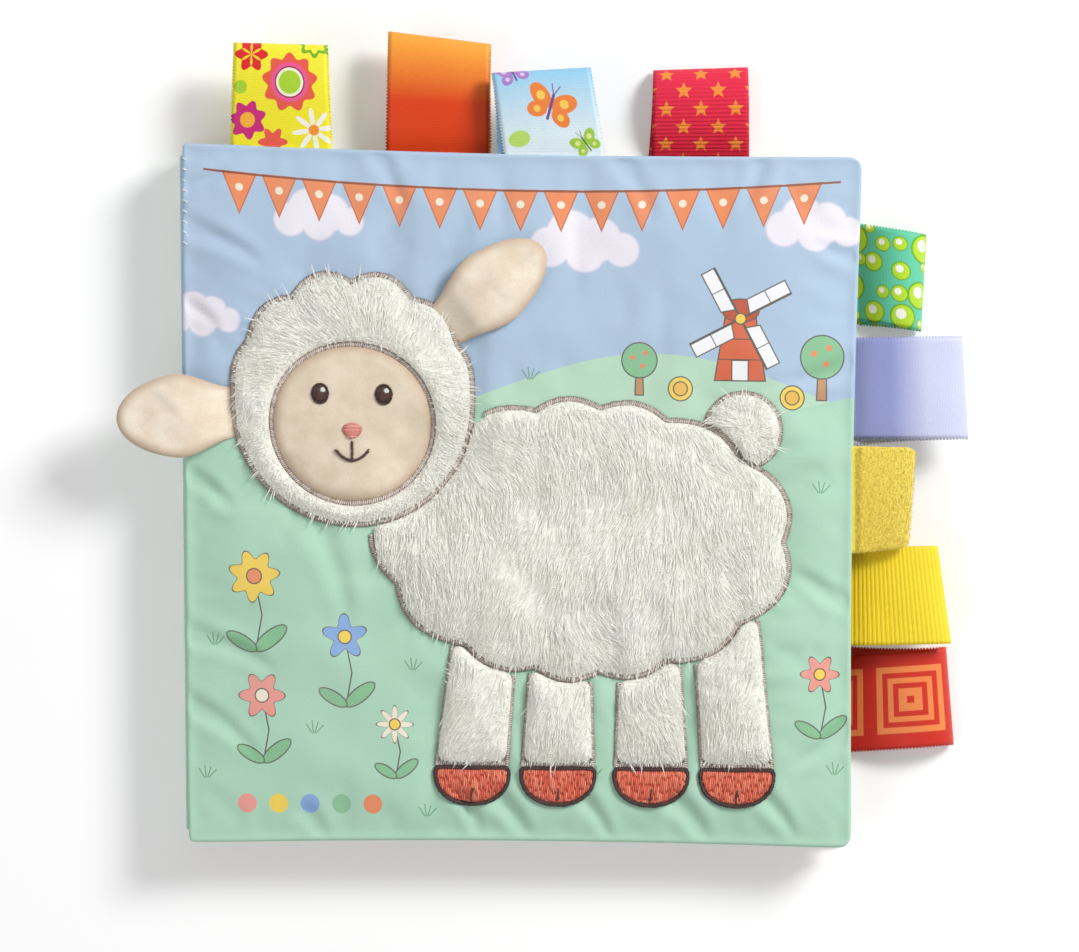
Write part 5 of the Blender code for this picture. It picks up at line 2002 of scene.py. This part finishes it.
def ribbon_route(length, above, below):
    """Out, away and share of the way to the lower strand, round the loop, and its run."""
    out, away = loop_side(length, above)
    back, under = loop_side(length, below)
    root = np.array([-SEWN_IN])
    route = np.column_stack([
        np.concatenate([root, out, back[-2::-1], root]),
        np.concatenate([[0.2], away, -under[-2::-1], [-0.2]]),
        np.concatenate([[0], np.zeros(len(out)), 1 - (back / length)[-2::-1], [1]]),
    ])
    return route, length_of(route[:, :2])


def make_ribbon(name, paint):
    """A ribbon loop inside its CAD solid's box, sewn into the edge of its leaf."""
    leaf, edge, lean, slip, slant, taper, cup, rib = RIBBONS[name]
    low, high = (np.array(corner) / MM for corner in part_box(name))
    top = edge == "top"
    out_axis, side_axis = (1, 0) if top else (0, 1)
    seat = (low + high) / 2
    seat[out_axis] = low[out_axis] - 0.3
    seat[2] = LEAVES[leaf][0] + float(wave(leaf, *leaf_share(*seat[:2])))
    seat[out_axis] = warped(*seat[:2])[out_axis]
    length = high[out_axis] - seat[out_axis]
    width = high[side_axis] - low[side_axis]
    plush = name == "plush_ribbon"
    thickness = PLUSH_CLOTH if plush else RIBBON_CLOTH
    above = high[2] - LEAVES[leaf][0] - thickness / 2
    below = LEAVES[leaf][0] - low[2] - thickness / 2
    route, run = ribbon_route(length - thickness / 2, above, below)
    rows = int(run * (RIBBED_ROWS if rib else PLAIN_ROWS))
    route = spaced(route, rows, False)
    v = np.linspace(-1, 1, RIBBON_COLUMNS)
    out, away, lower = (route[:, k][:, None] for k in range(3))
    travelled = np.linspace(0, run, rows)[:, None]
    from_fold = travelled - run / 2
    share = np.clip(out / length, 0, 1)
    seed = sum(map(ord, name))
    slanted = out * (1 + slant * v[None, :] / 2 / length)
    # Room for the pile or the loops of the woven edge, inside the CAD's width
    spare = 0.45 if plush else 0 if rib else 0.28
    half = width / 2 - spare - taper / 2 * share
    if plush:
        half = half - 1.6 * np.clip(share * 7 - 6, 0, 1) ** 2
    aside = v[None, :] * half + lean * share + slip * lower * (1 - share)
    ripple = 0.22 * noise(aside, from_fold, 9, seed) * np.clip(share * 3, 0, 1)
    level = away - np.sign(away) * cup * (v[None, :] ** 2) * np.sin(np.pi * share) + ripple
    grid = np.zeros((rows, RIBBON_COLUMNS, 3))
    grid[..., out_axis] = seat[out_axis] + slanted
    grid[..., side_axis] = seat[side_axis] + aside
    grid[..., 2] = seat[2] + level
    if not top:
        grid = grid[:, ::-1]
        v = v[::-1]
    normal = np.cross(np.gradient(grid, axis=1), np.gradient(grid, axis=0))
    normal /= np.maximum(np.linalg.norm(normal, axis=2, keepdims=True), 1e-9)
    if (normal[rows // 4, :, 2]).mean() < 0:
        normal = -normal
    thick = np.full((rows, RIBBON_COLUMNS), thickness)
    if plush:
        thick *= 0.25 + 0.75 * smooth((out + 0.4) / 2.5)
    if rib:
        thick += 0.3 * np.abs(np.sin(np.pi * from_fold / rib))
    outer = grid + normal * thick[..., None] / 2
    inner = grid - normal * thick[..., None] / 2
    faces = sheet_faces(RIBBON_COLUMNS, rows)
    upper = rows // 4
    across, ahead = outer[upper, 1] - outer[upper, 0], outer[upper + 1, 0] - outer[upper, 0]
    if np.cross(across, ahead)[2] < 0:
        faces = faces[:, ::-1]
    flat = doubled(*np.broadcast_arrays(v[None, :] * width / 2, from_fold))
    points = np.vstack([outer.reshape(-1, 3), inner.reshape(-1, 3)])
    pieces = [add_mesh(name, points, faces, paint, flat=flat)]
    if plush:
        hairs, hair_faces = fuzz(grid, normal, thickness, route[:, 0] > 0.6, seed)
        pieces.append(add_mesh("plush_ribbon_pile", hairs, hair_faces, paint, flat=hairs[:, :2]))
    elif not rib:
        beads, bead_faces, bead_flat = selvedge(grid, normal, travelled[:, 0], flat, thickness)
        pieces.append(add_mesh(f"{name}_edges", beads, bead_faces, paint, flat=bead_flat))
    for piece in pieces:
        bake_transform(piece)
    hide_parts(name)


def selvedge(grid, normal, travelled, flat, thickness):
    """The small loops of thread along both woven edges of a ribbon."""
    rows, columns = grid.shape[:2]
    places = np.arange(SEWN_IN + 0.4, travelled[-1] - SEWN_IN - 0.4, EDGE_PITCH)
    flat = flat[:rows * columns].reshape(rows, columns, 2)

    def at_places(values):
        return np.column_stack([np.interp(places, travelled, axis) for axis in values.T])

    points, shades = [], []
    for edge, inner in ((0, 1), (-1, -2)):
        line = grid[:, edge]
        out = line - grid[:, inner]
        out /= np.linalg.norm(out, axis=1, keepdims=True)
        ahead = np.gradient(line, travelled, axis=0)
        middle, out, ahead, up = (at_places(part) for part in (line, out, ahead, normal[:, edge]))
        thick = thickness / 2 + 0.06
        ends = (0.3 * ahead, 0.16 * ahead + 0.3 * out, -0.16 * ahead + 0.3 * out, -0.3 * ahead,
                -0.16 * ahead - 0.4 * out, 0.16 * ahead - 0.4 * out)
        ring = [middle + end for end in ends]
        points.append(np.stack([*ring, middle + thick * up, middle - thick * up], 1))
        shades.append(np.repeat(at_places(flat[:, edge]), 8, 0))
    points = np.vstack(points)
    pattern = []
    for k in range(6):
        pattern += [(k, (k + 1) % 6, 6), ((k + 1) % 6, k, 7)]
    return points.reshape(-1, 3), repeated(pattern, len(points), 8), np.vstack(shades)


def fuzz(grid, normal, thickness, shown, seed):
    """Short hairs over both faces of a folded cloth, on the rows that are shown."""
    count = PILE_COUNT
    draw = np.random.default_rng(seed)
    row = draw.choice(np.flatnonzero(shown), count)
    place = draw.uniform(0, grid.shape[1] - 1.001, count)
    column, share = place.astype(int), (place % 1)[:, None]

    def between(values):
        return values[row, column] * (1 - share) + values[row, column + 1] * share

    out = between(normal) * draw.choice((-1, 1), count, p=(0.2, 0.8))[:, None]
    root = between(grid) + out * thickness * 0.42
    root += draw.normal(0, 0.14, (count, 3)) * (1, 1, 0.1)
    lean = draw.normal(0, 0.24, (count, 3)) + (0.3, -0.45, 0)
    tip = root + (out * 0.5 + lean * 0.8) * PILE_LENGTH * draw.uniform(0.6, 1.3, (count, 1))
    side = np.cross(tip - root, out + 0.01)
    side /= np.maximum(np.linalg.norm(side, axis=1, keepdims=True), 1e-6)
    other = np.cross(tip - root, side)
    other /= np.maximum(np.linalg.norm(other, axis=1, keepdims=True), 1e-6)
    corners = [root + 0.07 * (side * math.cos(a) + other * math.sin(a)) for a in (0, 2.1, 4.2)]
    points = np.stack([*corners, tip], 1).reshape(-1, 3)
    return points, repeated(((0, 1, 3), (1, 2, 3), (2, 0, 3), (0, 2, 1)), count, 4)


for ribbon_name, ribbon_finish in ribbon_paints().items():
    make_ribbon(ribbon_name, ribbon_finish)
